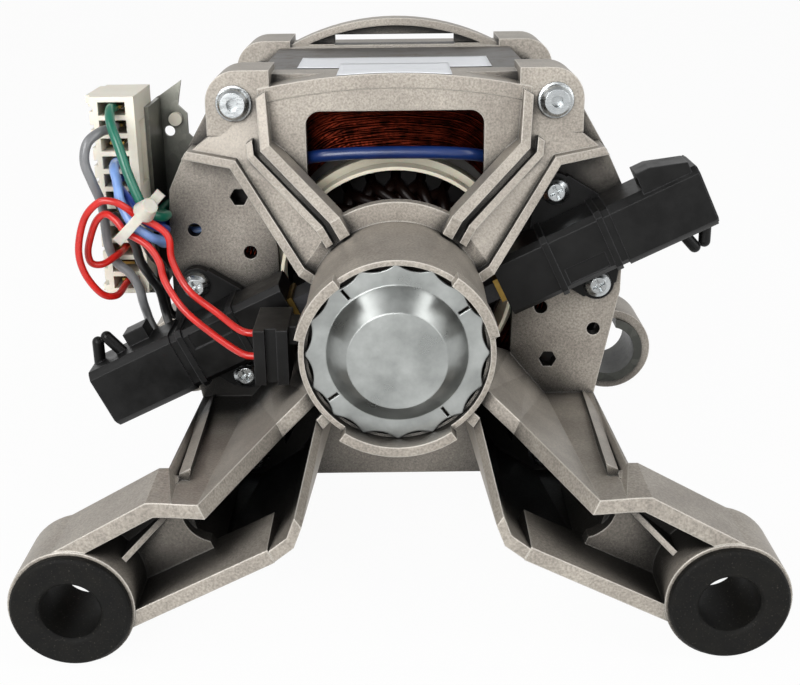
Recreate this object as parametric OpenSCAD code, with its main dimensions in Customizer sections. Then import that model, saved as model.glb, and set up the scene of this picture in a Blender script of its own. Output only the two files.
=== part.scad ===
// Universal motor of a front-loading washing machine: two cast end shields clamp the stator
// stack, the shaft turns in two ball bearings, and angled brush holders sit beside the hub.
// X runs across the feet, Y along the shaft towards the pulley, Z up from the floor.

/* [Feet] */
// Distance between the bores of the left and the right foot
foot_pitch = 154.6; // [150:0.2:160]
// Depth of the foot bores below the shaft axis
foot_drop = 49.8; // [48:0.2:54]
// Outer diameter of the round boss at the end of each foot
boss_d = 30; // [29:0.5:33]
// Distance from the hub rim to the open face of the rear bosses
foot_reach = 34; // [31:1:38]
// Length of the rear bosses
rear_boss_len = 19; // [16:1:24]
// Length of the front bosses
front_boss_len = 22; // [18:1:26]
// Diameter of the rubber bush where it sits in its boss
bush_d = 26; // [24:0.5:26.5]
// Diameter of the flange of the rubber bush
bush_flange_d = 28.4; // [27:0.2:29]
// Thickness of the flange of the rubber bush
bush_flange_t = 2; // [1:0.5:4]
// Bore of the rubber bush
bush_bore_d = 14.5; // [8:0.5:15]
// Mouth of the bush bore, at the wide end of its chamfer
bush_mouth_d = 16; // [15.5:0.5:18]
// Outer diameter of the split steel sleeve in each front boss
sleeve_d = 24; // [20:0.5:26]
// Bore of the split steel sleeve
sleeve_bore_d = 18; // [14:0.5:18.5]
// Width of the slit along the steel sleeve
sleeve_slit = 4; // [2:0.5:6]

/* [Rear shield] */
// Outer diameter of the bearing hub
hub_d = 49.2; // [48.6:0.2:52]
// Length of the bearing hub
hub_len = 40; // [38:1:44]
// Distance from the end of the hub to the stator stack
dish_depth = 36; // [36:1:40]
// Thickness of the cast walls
cast_wall = 4; // [3:0.25:4.5]
// Height of the screw ears above the stator stack
ear_len = 18; // [17:0.5:19]
// Height of the brush plates above the stator stack
lobe_len = 12; // [11.5:0.5:13]
// Width over the brush plates
lobe_span = 133; // [130:1:138]
// Height over the top and bottom edges of the shield
shield_h = 120.6; // [119:0.2:122]
// Width of the ventilation window above the hub
window_w = 50; // [44:1:54]
// Height of the top edge of the window above the shaft axis
window_top = 51; // [50:0.5:54]
// Height of the ridges along the spokes
ridge_h = 4; // [2:0.5:5]
// Height that the rim stands up beside the cap
rim_rise = 4; // [2:0.5:6]

/* [Stator] */
// Length of the lamination stack
stack_len = 56; // [50:1:66]
// Width of the lamination stack
stack_w = 120; // [116:0.5:122]
// Height of the lamination stack
stack_h = 120; // [112:0.5:121]
// Distance between the stator bolts across the motor
bolt_span_x = 89.4; // [87:0.2:91]
// Distance of the stator bolts from the top and the bottom of the stack
bolt_inset = 6.5; // [4:0.25:7]
// Diameter of the stator bolts
bolt_d = 5; // [4:0.5:6]
// Diameter of the heads of the stator bolts
bolt_head_d = 10; // [8:0.5:11]
// Depth of the copper bundle of a field coil along the shaft, beyond the stack
coil_overhang = 7.5; // [6.5:0.25:7.75]
// Turns of wire in the outer layer of a field coil
coil_turns = 6; // [4:1:6]
// Diameter of the field wire
coil_wire_d = 1; // [0.7:0.05:1.1]

/* [Rotor] */
// Diameter of the armature
rotor_d = 64; // [60:0.5:65]
// Air gap between armature and stator
air_gap = 0.6; // [0.4:0.1:1]
// Slots in the armature
rotor_slots = 24; // [16:1:24]
// Width of an armature slot
slot_w = 3; // [2:0.25:3.5]
// Depth of an armature slot
slot_depth = 11; // [8:0.5:12]
// Diameter of the shaft between its bearings
shaft_d = 17; // [16:0.5:18]
// Diameter of the shaft where it sits in its bearings
journal_d = 15; // [12:0.5:15]
// Diameter of the commutator
comm_d = 38; // [34:0.5:39]
// Length of the commutator
comm_len = 21; // [18:0.5:22]
// Bars in the commutator
comm_bars = 24; // [16:1:32]
// Gap between two commutator bars
bar_gap = 0.6; // [0.4:0.1:0.9]
// Radius over the blades of the cooling fan
fan_r = 44; // [38:0.5:46]
// Blades on the cooling fan
fan_blades = 11; // [7:1:15]

/* [Bearings] */
// Outer diameter of the ball bearings
bearing_d = 35; // [34:0.5:37]
// Width of the ball bearings
bearing_w = 11; // [10:0.5:12]
// Diameter of the bearing balls
ball_d = 6; // [5:0.25:6.5]
// Balls in each bearing
ball_count = 8; // [6:1:9]

/* [Brush gear] */
// Slope of the brush axis
brush_angle = 25.5; // [23:0.5:28]
// Sideways offset of the brush axis from the shaft axis
brush_offset = 10.3; // [8:0.1:11]
// Thickness of the carbon brush
brush_t = 5; // [4:0.25:5.5]
// Width of the carbon brush along the shaft
brush_w = 12.5; // [10:0.25:13]
// Distance from the shaft axis to the outer end of the brush
brush_end = 48; // [44:0.5:52]
// Distance from the shaft axis to the inner end of the brush holder
holder_start = 28; // [27:0.5:32]
// Distance from the shaft axis to the outer end of the brush holder
holder_end = 90; // [86:0.5:92]
// Width of the brush holder body
holder_w = 17; // [15:0.25:18]
// Distance from the shaft axis to the fixing tabs
tab_station = 53; // [50:0.5:55]
// Distance between the two fixing screws of a holder
tab_pitch = 30.8; // [30:0.2:32]
// Diameter of the fixing screws
tab_screw_d = 4; // [3:0.5:4.5]
// Wall of the brass brush tube
tube_wall = 0.8; // [0.5:0.1:1]
// Diameter of the brush spring
spring_d = 4.4; // [3.6:0.1:4.8]
// Diameter of the spring wire
spring_wire_d = 0.6; // [0.4:0.05:0.8]
// Curls of the brush spring
spring_curls = 8; // [6:1:10]

/* [Tacho] */
// Diameter over the teeth of the tacho cap
cap_d = 46; // [44:0.2:46.4]
// Teeth around the tacho cap
cap_teeth = 16; // [12:1:20]
// Thickness of the pressed cap
cap_t = 1; // [0.6:0.1:1.2]
// Height of the dome over the rim of the cap
cap_rise = 5.5; // [4:0.5:8]
// Diameter of the flat top of the cap
cap_top_d = 25; // [20:0.5:28]
// Diameter of the tacho magnet
magnet_d = 19; // [16:0.5:20]

/* [Drive end] */
// Depth of the front shield from the stack to its plate
front_depth = 20; // [19:0.5:24]
// Diameter of the pulley over its ribs
pulley_d = 22; // [20:0.5:26]
// Length of the pulley
pulley_len = 26; // [20:1:32]
// Ribs of the belt
pulley_ribs = 8; // [5:1:9]
// Rib pitch of the belt
rib_pitch = 2.34; // [2:0.02:2.6]
// Diameter of the shaft under the pulley
nose_d = 14; // [12:0.5:14.5]
// Height of the lifting arch above the shaft axis
arch_top = 69.5; // [67:0.5:72]
// Width of the lifting arch
arch_w = 72; // [66:1:74]

/* [Terminals] */
// Ways in the terminal block
ways = 11; // [8:1:11]
// Distance between two ways
way_pitch = 5; // [4.8:0.1:5.2]
// Width of the terminal block
block_w = 12.5; // [11:0.5:13]
// Depth of the terminal block along the shaft
block_depth = 24; // [20:0.5:26]
// Thickness of the bracket sheet
sheet_t = 1.2; // [0.8:0.1:1.6]
// Diameter of the thick leads
lead_d = 2.7; // [2.2:0.1:2.8]
// Diameter of the thin leads
thin_lead_d = 2; // [1.6:0.1:2.2]

/* [Fits] */
// Radial gap of parts that are pressed together
seat_gap = 0.02; // [0.01:0.01:0.05]
// Gap of parts that slide or turn past each other
run_gap = 0.3; // [0.2:0.05:0.4]

/* [Hidden] */
$fn = 64;

// Stations along the shaft, from the hub rim towards the pulley
rear_boss_y = -foot_reach;
rear_boss_end = rear_boss_y + rear_boss_len;
stack_y = hub_len + dish_depth;
stack_end = stack_y + stack_len;
ear_y = stack_y - ear_len;
lobe_y = stack_y - lobe_len;
bearing_lip = 5;
rear_bearing_y = hub_len - bearing_lip - bearing_w;
brush_y = stack_y - 24;
comm_y = brush_y - comm_len / 2 + 0.5;
comm_end = comm_y + comm_len;
front_plate_y = stack_end + front_depth;
front_bearing_y = front_plate_y + cast_wall + 2;
front_bearing_end = front_bearing_y + bearing_w;
front_hub_end = front_bearing_end + 2;
pulley_y = front_hub_end + 3;
pulley_end = pulley_y + pulley_len;
shaft_end = pulley_end + 1;
front_boss_y = stack_end + 5;
bush_face_y = rear_boss_y - bush_flange_t;

// Heights and half widths shared by several pieces
axis_h = foot_drop + boss_d / 2;
foot_x = foot_pitch / 2;
foot_at = [foot_x, -foot_drop];
hub_r = hub_d / 2;
bolt_x = bolt_span_x / 2;
bolt_z = stack_h / 2 - bolt_inset;
bolt_hole_r = bolt_d / 2 + 0.25;
bearing_r = bearing_d / 2;
ball_ring_r = (bearing_r + journal_d / 2) / 2;
race_gap = 0.1;
comm_r = comm_d / 2;
rotor_r = rotor_d / 2;
stator_bore_r = rotor_r + air_gap;
coil_in_r = stator_bore_r + 4.4;
coil_out_r = coil_in_r + 10;
coil_edge_deg = 9;
coil_side_deg = 28;
coil_rear_y = stack_y - coil_overhang;
coil_front_y = stack_end + coil_overhang;

// Stands the motor on its feet, middle over the origin
module place() {
    translate([0, -(bush_face_y + shaft_end) / 2, axis_h])
        children();
}

// Revolves a profile of [radius, station] points about the shaft axis
module turned(profile) {
    rotate([-90, 0, 0])
        rotate_extrude()
            polygon(profile);
}

// Revolves the profile through a sector, with angles seen from the rear
module turned_sector(profile, from, to) {
    rotate([-90, 0, 0])
        rotate([0, 0, -to])
            rotate_extrude(angle = to - from)
                polygon(profile);
}

// Extrudes an outline drawn in X and Z from one station to another
module slab(from, to) {
    translate([0, to, 0])
        rotate([90, 0, 0])
            linear_extrude(to - from)
                children();
}

// Round bar along the shaft direction
module rod(r, from, to, at = [0, 0]) {
    translate([at[0], from, at[1]])
        rotate([-90, 0, 0])
            cylinder(r = r, h = to - from);
}

// Piece and its copy on the other side of the middle plane
module both_sides() {
    children();
    mirror([1, 0, 0])
        children();
}

function unit(v) = v / norm(v);
function ring_profile(r_in, r_out, from, to) = [[r_in, from], [r_out, from], [r_out, to], [r_in, to]];

function fan_volume(p, f) = [
    for (k = [1:len(f) - 2]) p[f[0]] * cross(p[f[k]], p[f[k + 1]])
];
function total(v) = v * [for (x = v) 1];
function reversed(f) = [for (k = [len(f) - 1:-1:0]) f[k]];

// Closed solid whose faces are turned to look outwards
module facets(points, faces) {
    inside_out = total([for (f = faces) total(fan_volume(points, f))]) > 0;
    polyhedron(points, inside_out ? [for (f = faces) reversed(f)] : faces);
}

// Closed solid through a row of rings that all have the same number of points
module skin(rings) {
    n = len(rings[0]);
    last = len(rings) - 1;
    sides = [
        for (i = [0:last - 1], j = [0:n - 1])
            let (a = i * n + j, b = i * n + (j + 1) % n)
            each [[a, b, b + n], [a, b + n, a + n]]
    ];
    caps = [[for (j = [n - 1:-1:0]) j], [for (j = [0:n - 1]) last * n + j]];
    facets([for (ring = rings) each ring], concat(sides, caps));
}

// Cast wall: the surface ruled between two edges, carried along one thickness vector
module ruled_wall(near, far, thick) {
    n = len(near);
    panels = [
        for (i = [0:n - 2])
            each [
                [i, n + i, n + i + 1], [i, n + i + 1, i + 1],
                [2 * n + i, 3 * n + i + 1, 3 * n + i], [2 * n + i, 2 * n + i + 1, 3 * n + i + 1],
                [i, i + 1, 2 * n + i + 1, 2 * n + i], [n + i, 3 * n + i, 3 * n + i + 1, n + i + 1]
            ]
    ];
    ends = [[0, 2 * n, 3 * n, n], [n - 1, 2 * n - 1, 4 * n - 1, 3 * n - 1]];
    edges = concat(near, far);
    facets(concat(edges, [for (p = edges) p + thick]), concat(panels, ends));
}

// Smooth curve through points chosen by hand
function spline_at(a, b, c, d, t) =
    0.5 * (2 * b + (c - a) * t + (2 * a - 5 * b + 4 * c - d) * t * t + (3 * b - a - 3 * c + d) * t * t * t);
function curve(p, steps) = [
    for (i = [0:len(p) - 2], k = [0:steps - (i < len(p) - 2 ? 1 : 0)])
        spline_at(p[max(i - 1, 0)], p[i], p[i + 1], p[min(i + 2, len(p) - 1)], k / steps)
];

// Round tube along a row of points, carried without twist
module tube(p, d, sides) {
    n = len(p);
    along = [for (i = [0:n - 1]) unit(p[min(i + 1, n - 1)] - p[max(i - 1, 0)])];
    start = abs(along[0] * [0, 0, 1]) < 0.8 ? [0, 0, 1] : [1, 0, 0];
    across = [
        for (i = 0, u = unit(start - along[0] * (start * along[0])); i < n;
             i = i + 1, u = i < n ? unit(u - along[i] * (u * along[i])) : u)
            u
    ];
    skin([
        for (i = [0:n - 1]) [
            for (k = [0:sides - 1])
                let (w = cross(along[i], across[i]))
                p[i] + d / 2 * (across[i] * cos(360 * k / sides) + w * sin(360 * k / sides))
        ]
    ]);
}

// Least free space between points of one tube that lie further apart than skip steps
function least_gap(p, skip, d) =
    min([for (i = [0:len(p) - 2 - skip], j = [i + skip:len(p) - 1]) norm(p[i] - p[j])]) - d;

// Rear end shield: hub, ring, spokes, brush plates, ears and feet in one casting
lobe_x = lobe_span / 2;
lobe_in_x = 35;
lobe_low_x = lobe_x - 6.5;
lobe_low_z = -37;
shelf_x = lobe_x - 6;
shelf_z = 38.5;
spoke_bend = [46, 36.5];
leg_crease = [45, lobe_low_z];
edge_z = shield_h / 2;
ear_r = 9;
chamber_r = hub_r - 2.1;
cap_seat_r = cap_d / 2 + 0.2;
cap_seat_y = 2.5;
chamber_end = rear_bearing_y - 3;
ring_r = 30;
rim_r = hub_r + 1.2;
ring_y = hub_len - 2.5;
window_low = 27;
window_r = 4;
plate_x = 38;
roof_drop = 4;
roof_r = (plate_x * plate_x + roof_drop * roof_drop) / (2 * roof_drop);

// Lower and upper edge of the notches that let the leads through the wall
lead_notches = [[-20.8, -10], [11.6, 19]];

// Outline of the casting where it meets the stack
module shield_outline() {
    polygon([
        [-bolt_x, edge_z], [bolt_x, edge_z], [bolt_x + ear_r - 2, bolt_z], [shelf_x, shelf_z],
        [lobe_x - 1, 28], [lobe_x, 14], [lobe_x, -4], [lobe_low_x, lobe_low_z],
        [bolt_x + ear_r - 2, -bolt_z], [bolt_x, -edge_z], [-bolt_x, -edge_z], [-bolt_x - ear_r + 2, -bolt_z],
        [-lobe_low_x, lobe_low_z], [-lobe_x, -4], [-lobe_x, 14], [-lobe_x + 1, 28],
        [-shelf_x, shelf_z], [-bolt_x - ear_r + 2, bolt_z]
    ]);
}

// Room for the coils inside the casting
module shield_room() {
    intersection() {
        circle(r = lobe_x - cast_wall);
        square([lobe_span - 2 * cast_wall, shield_h - 2 * cast_wall], center = true);
    }
}

// Disc whose upper arc is the roof line of the casting
module roof_disc(inset) {
    translate([0, edge_z + 1 - roof_r])
        circle(r = roof_r - inset, $fn = 180);
}

// Window above the hub, with round upper corners
module window_outline() {
    half = window_w / 2;
    translate([-half, 0])
        square([window_w, window_top - window_r]);
    translate([window_r - half, 0])
        square([window_w - 2 * window_r, window_top]);
    for (side = [-1, 1])
        translate([side * (half - window_r), window_top - window_r])
            circle(r = window_r);
}

// Ear around one stator bolt, flat towards the middle
module ear_outline() {
    translate([bolt_x - 1, bolt_z]) {
        circle(r = ear_r);
        translate([-ear_r, -ear_r])
            square([2 * ear_r, ear_r]);
        translate([-ear_r, 0])
            square([ear_r, ear_r]);
    }
}

// Plate that carries a brush holder
module lobe_outline() {
    polygon([
        [lobe_in_x - 1, -24.5], leg_crease, [lobe_low_x, lobe_low_z], [lobe_x, -4], [lobe_x, 14],
        [lobe_x - 1, 28], [shelf_x, shelf_z], [spoke_bend[0], spoke_bend[1] + 1], [38, 28], [lobe_in_x, 10]
    ]);
}

// Spoke from the hub to an ear: a dished web between an inner and an outer edge, with cast ridges
spoke_inner = [[12.4, 22.2], [15, window_low], [34.6, 43], [35.6, 57]];
spoke_outer = [[20.8, 6.4], [26.5, 10.5], spoke_bend, [shelf_x - 0.5, shelf_z]];
spoke_y = [hub_len - 3, hub_len - 3, ear_y - 3, ear_y + 0.6];
inner_depth = [hub_len + 2, hub_len + 2, ear_y + 3.4, ear_y + 3.4];
outer_depth = [hub_len + 2, hub_len + 3, lobe_y + 2, lobe_y + 2];
spoke_groove = [[12.4, 22.2], [15, window_low], [34.6, 43], [35, 47]];
groove_y = [hub_len - 3, hub_len - 3, ear_y - 3, ear_y - 2];
function at_y(edge, y) = [for (i = [0:len(edge) - 1]) [edge[i][0], y[i], edge[i][1]]];
function lifted(y, h) = [for (v = y) v - h];

module spoke() {
    ruled_wall(at_y(spoke_inner, spoke_y), at_y(spoke_outer, spoke_y), [0, cast_wall, 0]);
    ruled_wall(at_y(spoke_inner, lifted(spoke_y, ridge_h)), at_y(spoke_inner, inner_depth), [2.6, 0, -1.6]);
    groove = [4.6, 0, -2.8];
    ruled_wall(
        [for (p = at_y(spoke_groove, lifted(groove_y, ridge_h - 1.2))) p + groove],
        [for (p = at_y(spoke_groove, lifted(groove_y, -1))) p + groove],
        [1.8, 0, -1.2]);
    ruled_wall(at_y(spoke_outer, lifted(spoke_y, ridge_h - 1)), at_y(spoke_outer, outer_depth), [-1.6, 0, 2.2]);
}

// Leg: the open front edge of each wall and the back edge that it is ruled to
arm_z = -22.6;
arm_bend = [57.9, arm_z];
boss_r = boss_d / 2;
arm_tip = foot_at + boss_r * 0.96 * [0.44, 0.9];
leg_near = rear_boss_y + 0.4;
leg_end = rear_boss_end - 0.3;
leg_back = lobe_y + 2;
leg_upper_near = [
    [20.4, 6, -9.6], [23, 5, -11.6], [30.8, 0, -17.9], [46, leg_near, -23.2], [52, leg_near, -22.8],
    [55, leg_near, arm_z], [arm_bend[0], leg_near, arm_z], [arm_tip[0], leg_near, arm_tip[1]]
];
leg_upper_far = [
    [20.4, hub_len - 2, -9.6], [lobe_in_x - 1, leg_back, -23.5], [40, leg_back, -31], [45, leg_back, lobe_low_z],
    [lobe_low_x, leg_back, lobe_low_z], [55.6, leg_end, arm_z], [arm_bend[0], leg_end, arm_z],
    [arm_tip[0], leg_end, arm_tip[1]]
];
leg_lower_near = [
    [44, leg_near, -45.8], [29.5, leg_near, -38.6], [24.4, leg_near, -34.6], [22.5, leg_near, -29.5],
    [19.2, 2, -20.5], [15, 3, -16.5]
];
leg_lower_far = [
    [52, leg_back, -64], [40, leg_back, -64], [28, leg_back, -56], [21, leg_back, -44],
    [17, leg_back, -34], [15, hub_len + 0.6, -25]
];
leg_side_near = [
    for (p = [[53, arm_z - 1], [54.6, -32.3], [52.4, -40.6], [46.6, -45.8]]) [p[0], leg_end - 1.4, p[1]]
];
leg_side_far = [
    for (p = [[59.6, lobe_low_z - 1], [60, -48], [58, -57], [52, -63]]) [p[0], leg_back, p[1]]
];

// Floor of the arm, with a round end towards the deep pocket
module arm_floor() {
    difference() {
        polygon([
            [44, -45], [53, arm_z - 2], arm_bend - [0.4, 1], arm_tip - [2, 3], foot_at, [66, -55], [48, -46.8]
        ]);
        translate([44, -32])
            circle(r = 8.6);
    }
}

module leg() {
    floor_y = rear_boss_end - 0.6;
    ruled_wall(leg_upper_near, leg_upper_far, [-1.5, 0, -3.7] * cast_wall / 4);
    ruled_wall(leg_lower_near, leg_lower_far, [1.6, 0, 2.6] * cast_wall / 4);
    ruled_wall(leg_side_near, leg_side_far, [-3, 0, 1.6] * cast_wall / 4);
    slab(leg_near - 0.2, rear_boss_end - 0.1)
        polygon([[66, -56.6], [29, -38.3], [30.6, -35], [66, -52.4]]);
    slab(floor_y - cast_wall, floor_y)
        arm_floor();
    gusset = [[55, floor_y - cast_wall + 0.5, -33], [66, floor_y - cast_wall - 9, -42], [66, floor_y - 1, -42]];
    skin([gusset, [for (p = gusset) p + [0.9, 0, 1.2]]]);
    rod(boss_r, rear_boss_y, rear_boss_end, foot_at);
}

module rear_shield_holes() {
    turned([
        [0, -rim_rise - 1], [cap_seat_r, -rim_rise - 1], [cap_seat_r, cap_seat_y], [chamber_r, cap_seat_y],
        [chamber_r, chamber_end], [bearing_r + seat_gap, chamber_end], [bearing_r + seat_gap, hub_len - bearing_lip],
        [bearing_r - 3, hub_len - bearing_lip], [bearing_r - 3, hub_len + 5], [0, hub_len + 5]
    ]);
    both_sides()
        rod(bush_d / 2 + seat_gap, rear_boss_y - 1, rear_boss_end + 1, foot_at);
    for (x = [-bolt_x, bolt_x], z = [-bolt_z, bolt_z])
        rod(bolt_hole_r, ear_y - 1, stack_y + 1, [x, z]);
    for (turn = [0, 180])
        rotate([0, turn, 0]) {
            rod(2, lobe_y - 1, lobe_y + cast_wall + 1, [lobe_x - 7.5, -16]);
            rod(2, lobe_y - 1, lobe_y + cast_wall + 1, [43, -9]);
            slab(lobe_y - 1, lobe_y + cast_wall + 1)
                translate([45.5, -25.6])
                    circle(r = 2.7, $fn = 6);
        }
    brush_screw_places()
        rod(tab_screw_d / 2 + seat_gap, lobe_y - 1, lobe_y + cast_wall + 1);
    for (notch = lead_notches)
        translate([-lobe_x - 1, lobe_y + cast_wall + 0.3, notch[0]])
            cube([lobe_x - 54, lobe_len, notch[1] - notch[0]]);
}

module rear_end_shield() {
    color("#a9a59d")
        place()
            difference() {
                union() {
                    turned(ring_profile(bearing_r - 4, hub_r, 0, hub_len));
                    for (side = [[14, 55], [126, 167], [235, 305]])
                        turned_sector(ring_profile(chamber_r - 0.5, rim_r, -rim_rise, 1), side[0], side[1]);
                    turned_sector(ring_profile(hub_r - 2, ring_r, ring_y, hub_len + 1), 50, 130);
                    turned_sector(ring_profile(hub_r - 2, ring_r + 1, ring_y, hub_len + 1), 232, 308);
                    slab(lobe_y + cast_wall - 1, stack_y)
                        difference() {
                            shield_outline();
                            shield_room();
                        }
                    slab(ear_y, ear_y + cast_wall)
                        difference() {
                            intersection() {
                                roof_disc(1);
                                polygon([
                                    [-plate_x, edge_z + 2], [plate_x, edge_z + 2], [plate_x, 41.5], [34, 38], [32, 31],
                                    [-32, 31], [-34, 38], [-plate_x, 41.5]
                                ]);
                            }
                            window_outline();
                        }
                    slab(ear_y - 0.2, lobe_y + cast_wall)
                        intersection() {
                            difference() {
                                roof_disc(0);
                                roof_disc(cast_wall);
                            }
                            translate([-plate_x, 40])
                                square([2 * plate_x, 30]);
                        }
                    slab(ear_y, lobe_y + cast_wall)
                        polygon([[-40, -edge_z], [40, -edge_z], [36, 4 - edge_z], [-36, 4 - edge_z]]);
                    slab(ear_y, ear_y + cast_wall)
                        difference() {
                            polygon([[-40, -edge_z], [40, -edge_z], [24, -30], [-24, -30]]);
                            circle(r = 40);
                        }
                    both_sides() {
                        for (flip = [0, 1])
                            mirror([0, 0, flip])
                                slab(ear_y, stack_y)
                                    ear_outline();
                        slab(lobe_y, lobe_y + cast_wall)
                            lobe_outline();
                        spoke();
                        leg();
                    }
                }
                rear_shield_holes();
            }
}

// Front end shield: shallow cup with vents, bearing hub, lifting arch and front feet
front_vents = 6;
arch_len = 8;
arch_slot_w = 40;
arch_band = 2.4;
arch_rise = arch_top - edge_z;
arch_r = (arch_w * arch_w / 4 + arch_rise * arch_rise) / (2 * arch_rise);
front_hub_r = bearing_r + 4;
front_half_w = stack_w / 2 + 1.5;

module front_outline() {
    polygon([
        [-bolt_x, edge_z], [bolt_x, edge_z], [bolt_x + ear_r - 2, bolt_z], [front_half_w, 38], [front_half_w, -38],
        [bolt_x + ear_r - 2, -bolt_z], [bolt_x, -edge_z], [-bolt_x, -edge_z], [-bolt_x - ear_r + 2, -bolt_z],
        [-front_half_w, -38], [-front_half_w, 38], [-bolt_x - ear_r + 2, bolt_z]
    ]);
}

module front_room() {
    intersection() {
        circle(r = front_half_w - cast_wall + 2);
        square([2 * front_half_w - 2 * cast_wall, shield_h - 2 * cast_wall], center = true);
    }
}

module front_arm() {
    polygon([
        [50, -16], [front_half_w - 1, -16], [foot_x + boss_r * 0.6, boss_r * 0.6 - foot_drop],
        foot_at, [foot_x - boss_r * 0.5, -foot_drop - boss_r * 0.7], [48, -58], [48, -40]
    ]);
}

module front_end_shield() {
    color("#a19d95")
        place()
            difference() {
                union() {
                    slab(stack_end, front_plate_y + 1)
                        difference() {
                            front_outline();
                            front_room();
                        }
                    slab(front_plate_y, front_plate_y + cast_wall)
                        front_outline();
                    rod(front_hub_r, front_plate_y, front_hub_end);
                    both_sides() {
                        for (flip = [0, 1])
                            mirror([0, 0, flip])
                                slab(stack_end, front_plate_y + cast_wall)
                                    difference() {
                                        ear_outline();
                                        front_room();
                                    }
                        rod(boss_r, front_boss_y, front_boss_y + front_boss_len, foot_at);
                        slab(front_boss_y + 3, front_boss_y + 3 + 2 * cast_wall)
                            front_arm();
                    }
                    for (k = [0:front_vents - 1])
                        rotate([0, k * 360 / front_vents, 0])
                            slab(front_plate_y, front_bearing_end - 2)
                                translate([front_hub_r - 2, -cast_wall / 2])
                                    square([8, cast_wall]);
                    slab(stack_end + 1, stack_end + 1 + arch_len)
                        intersection() {
                            translate([0, arch_top - arch_r])
                                circle(r = arch_r, $fn = 96);
                            translate([-arch_w / 2, edge_z - 2])
                                square([arch_w, arch_rise + 3]);
                        }
                }
                slab(stack_end - 1, stack_end + arch_len + 2)
                    translate([-arch_slot_w / 2, edge_z + 0.6])
                        square([arch_slot_w, 3]);
                slab(stack_end, stack_end + arch_len / 2 + 1)
                    intersection() {
                        translate([0, arch_top - arch_r])
                            circle(r = arch_r - arch_band, $fn = 96);
                        translate([arch_band * 2 - arch_w / 2, edge_z + 0.9])
                            square([arch_w - arch_band * 4, arch_rise]);
                    }
                for (k = [0:front_vents - 1])
                    turned_sector(
                        ring_profile(front_hub_r + 4, front_half_w - 12, front_plate_y - 1, front_plate_y + cast_wall + 1),
                        k * 360 / front_vents + 9, (k + 1) * 360 / front_vents - 9);
                rod(bearing_r + seat_gap, front_bearing_y, front_hub_end + 1);
                rod(bearing_r - 3, front_plate_y - 1, front_bearing_y + 1);
                both_sides()
                    rod(sleeve_d / 2 + seat_gap, front_boss_y - 1, front_boss_y + front_boss_len + 1, foot_at);
                for (x = [-bolt_x, bolt_x], z = [-bolt_z, bolt_z])
                    rod(bolt_d / 2 + seat_gap, stack_end - 1, stack_end + 13, [x, z]);
            }
}

// Stator: laminations with two salient poles, slots for the coils and notches for the bolts
module stator_core() {
    half_w = stack_w / 2;
    half_h = stack_h / 2;
    corner = bolt_x + bolt_z;
    slot_clear = 0.6;
    color("#6b6a68")
        place()
            difference() {
                slab(stack_y, stack_end)
                    polygon([
                        [half_w, corner - half_w], [corner - half_h, half_h], [half_h - corner, half_h],
                        [-half_w, corner - half_w], [-half_w, half_w - corner], [half_h - corner, -half_h],
                        [corner - half_h, -half_h], [half_w, half_w - corner]
                    ]);
                rod(stator_bore_r, stack_y - 1, stack_end + 1);
                for (side = [0, 180]) {
                    turned_sector(
                        ring_profile(stator_bore_r - 1, coil_in_r, stack_y - 1, stack_end + 1), side - 9, side + 9);
                    turned_sector(
                        ring_profile(coil_in_r - slot_clear, coil_out_r + 1.2, stack_y - 1, stack_end + 1),
                        side - coil_edge_deg - coil_side_deg - 1, side + coil_edge_deg + coil_side_deg + 1);
                }
                for (x = [-bolt_x, bolt_x], z = [-bolt_z, bolt_z])
                    rod(bolt_hole_r + 0.4, stack_y - 1, stack_end + 1, [x, z]);
            }
}

// Field coil: taped bundle bent round its pole, under one wound outer layer
module coil_bundle() {
    from = coil_edge_deg + 1.6;
    side = coil_side_deg - 1.6;
    layer = coil_wire_d + 0.3;
    difference() {
        turned_sector(
            ring_profile(coil_in_r, coil_out_r, coil_rear_y + layer, coil_front_y - layer), from, 180 - from);
        turned_sector(
            ring_profile(coil_in_r - 1, coil_out_r + 1, stack_y - 0.2, stack_end + 0.2), from + side, 180 - from - side);
    }
}

// One unbroken wire: across the rear of the bundle, down one slot, across the front and back
function polar(r, deg, y) = [r * cos(deg), y, r * sin(deg)];
arc_points = 10;
coil_pitch = (coil_out_r - coil_in_r - coil_wire_d - 0.6) / (coil_turns - 1 + 0.96);
coil_first_r = coil_in_r + coil_wire_d / 2 + 0.2;
coil_edge_out = coil_edge_deg - 1.8;
coil_arc_deg = 178 - 2 * coil_edge_deg;
function loop_point(k) =
    k < arc_points
    ? [coil_edge_deg + 1 + k * coil_arc_deg / (arc_points - 1), coil_rear_y + coil_wire_d / 2]
    : k == arc_points ? [180 - coil_edge_out, stack_y - 4]
    : k == arc_points + 1 ? [180 - coil_edge_out, stack_end + 4]
    : k < 2 * arc_points + 2
    ? [179 - coil_edge_deg - (k - arc_points - 2) * coil_arc_deg / (arc_points - 1), coil_front_y - coil_wire_d / 2]
    : k == 2 * arc_points + 2 ? [coil_edge_out, stack_end + 4]
    : [coil_edge_out, stack_y - 4];
loop_points = 2 * arc_points + 4;
field_wire = [
    for (i = [0:coil_turns * loop_points - 1])
        let (q = loop_point(i % loop_points))
        polar(coil_first_r + coil_pitch * i / loop_points, q[0], q[1])
];
echo(least_gap_in_field_winding_mm = least_gap(field_wire, 4, coil_wire_d));

module field_coil_upper() {
    color("#7a3b1e")
        place()
            coil_bundle();
}

module field_coil_lower() {
    color("#7a3b1e")
        place()
            rotate([0, 180, 0])
                coil_bundle();
}

module field_winding_upper() {
    color("#9a4a22")
        place()
            tube(field_wire, coil_wire_d, 6);
}

module field_winding_lower() {
    color("#9a4a22")
        place()
            rotate([0, 180, 0])
                tube(field_wire, coil_wire_d, 6);
}

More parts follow.
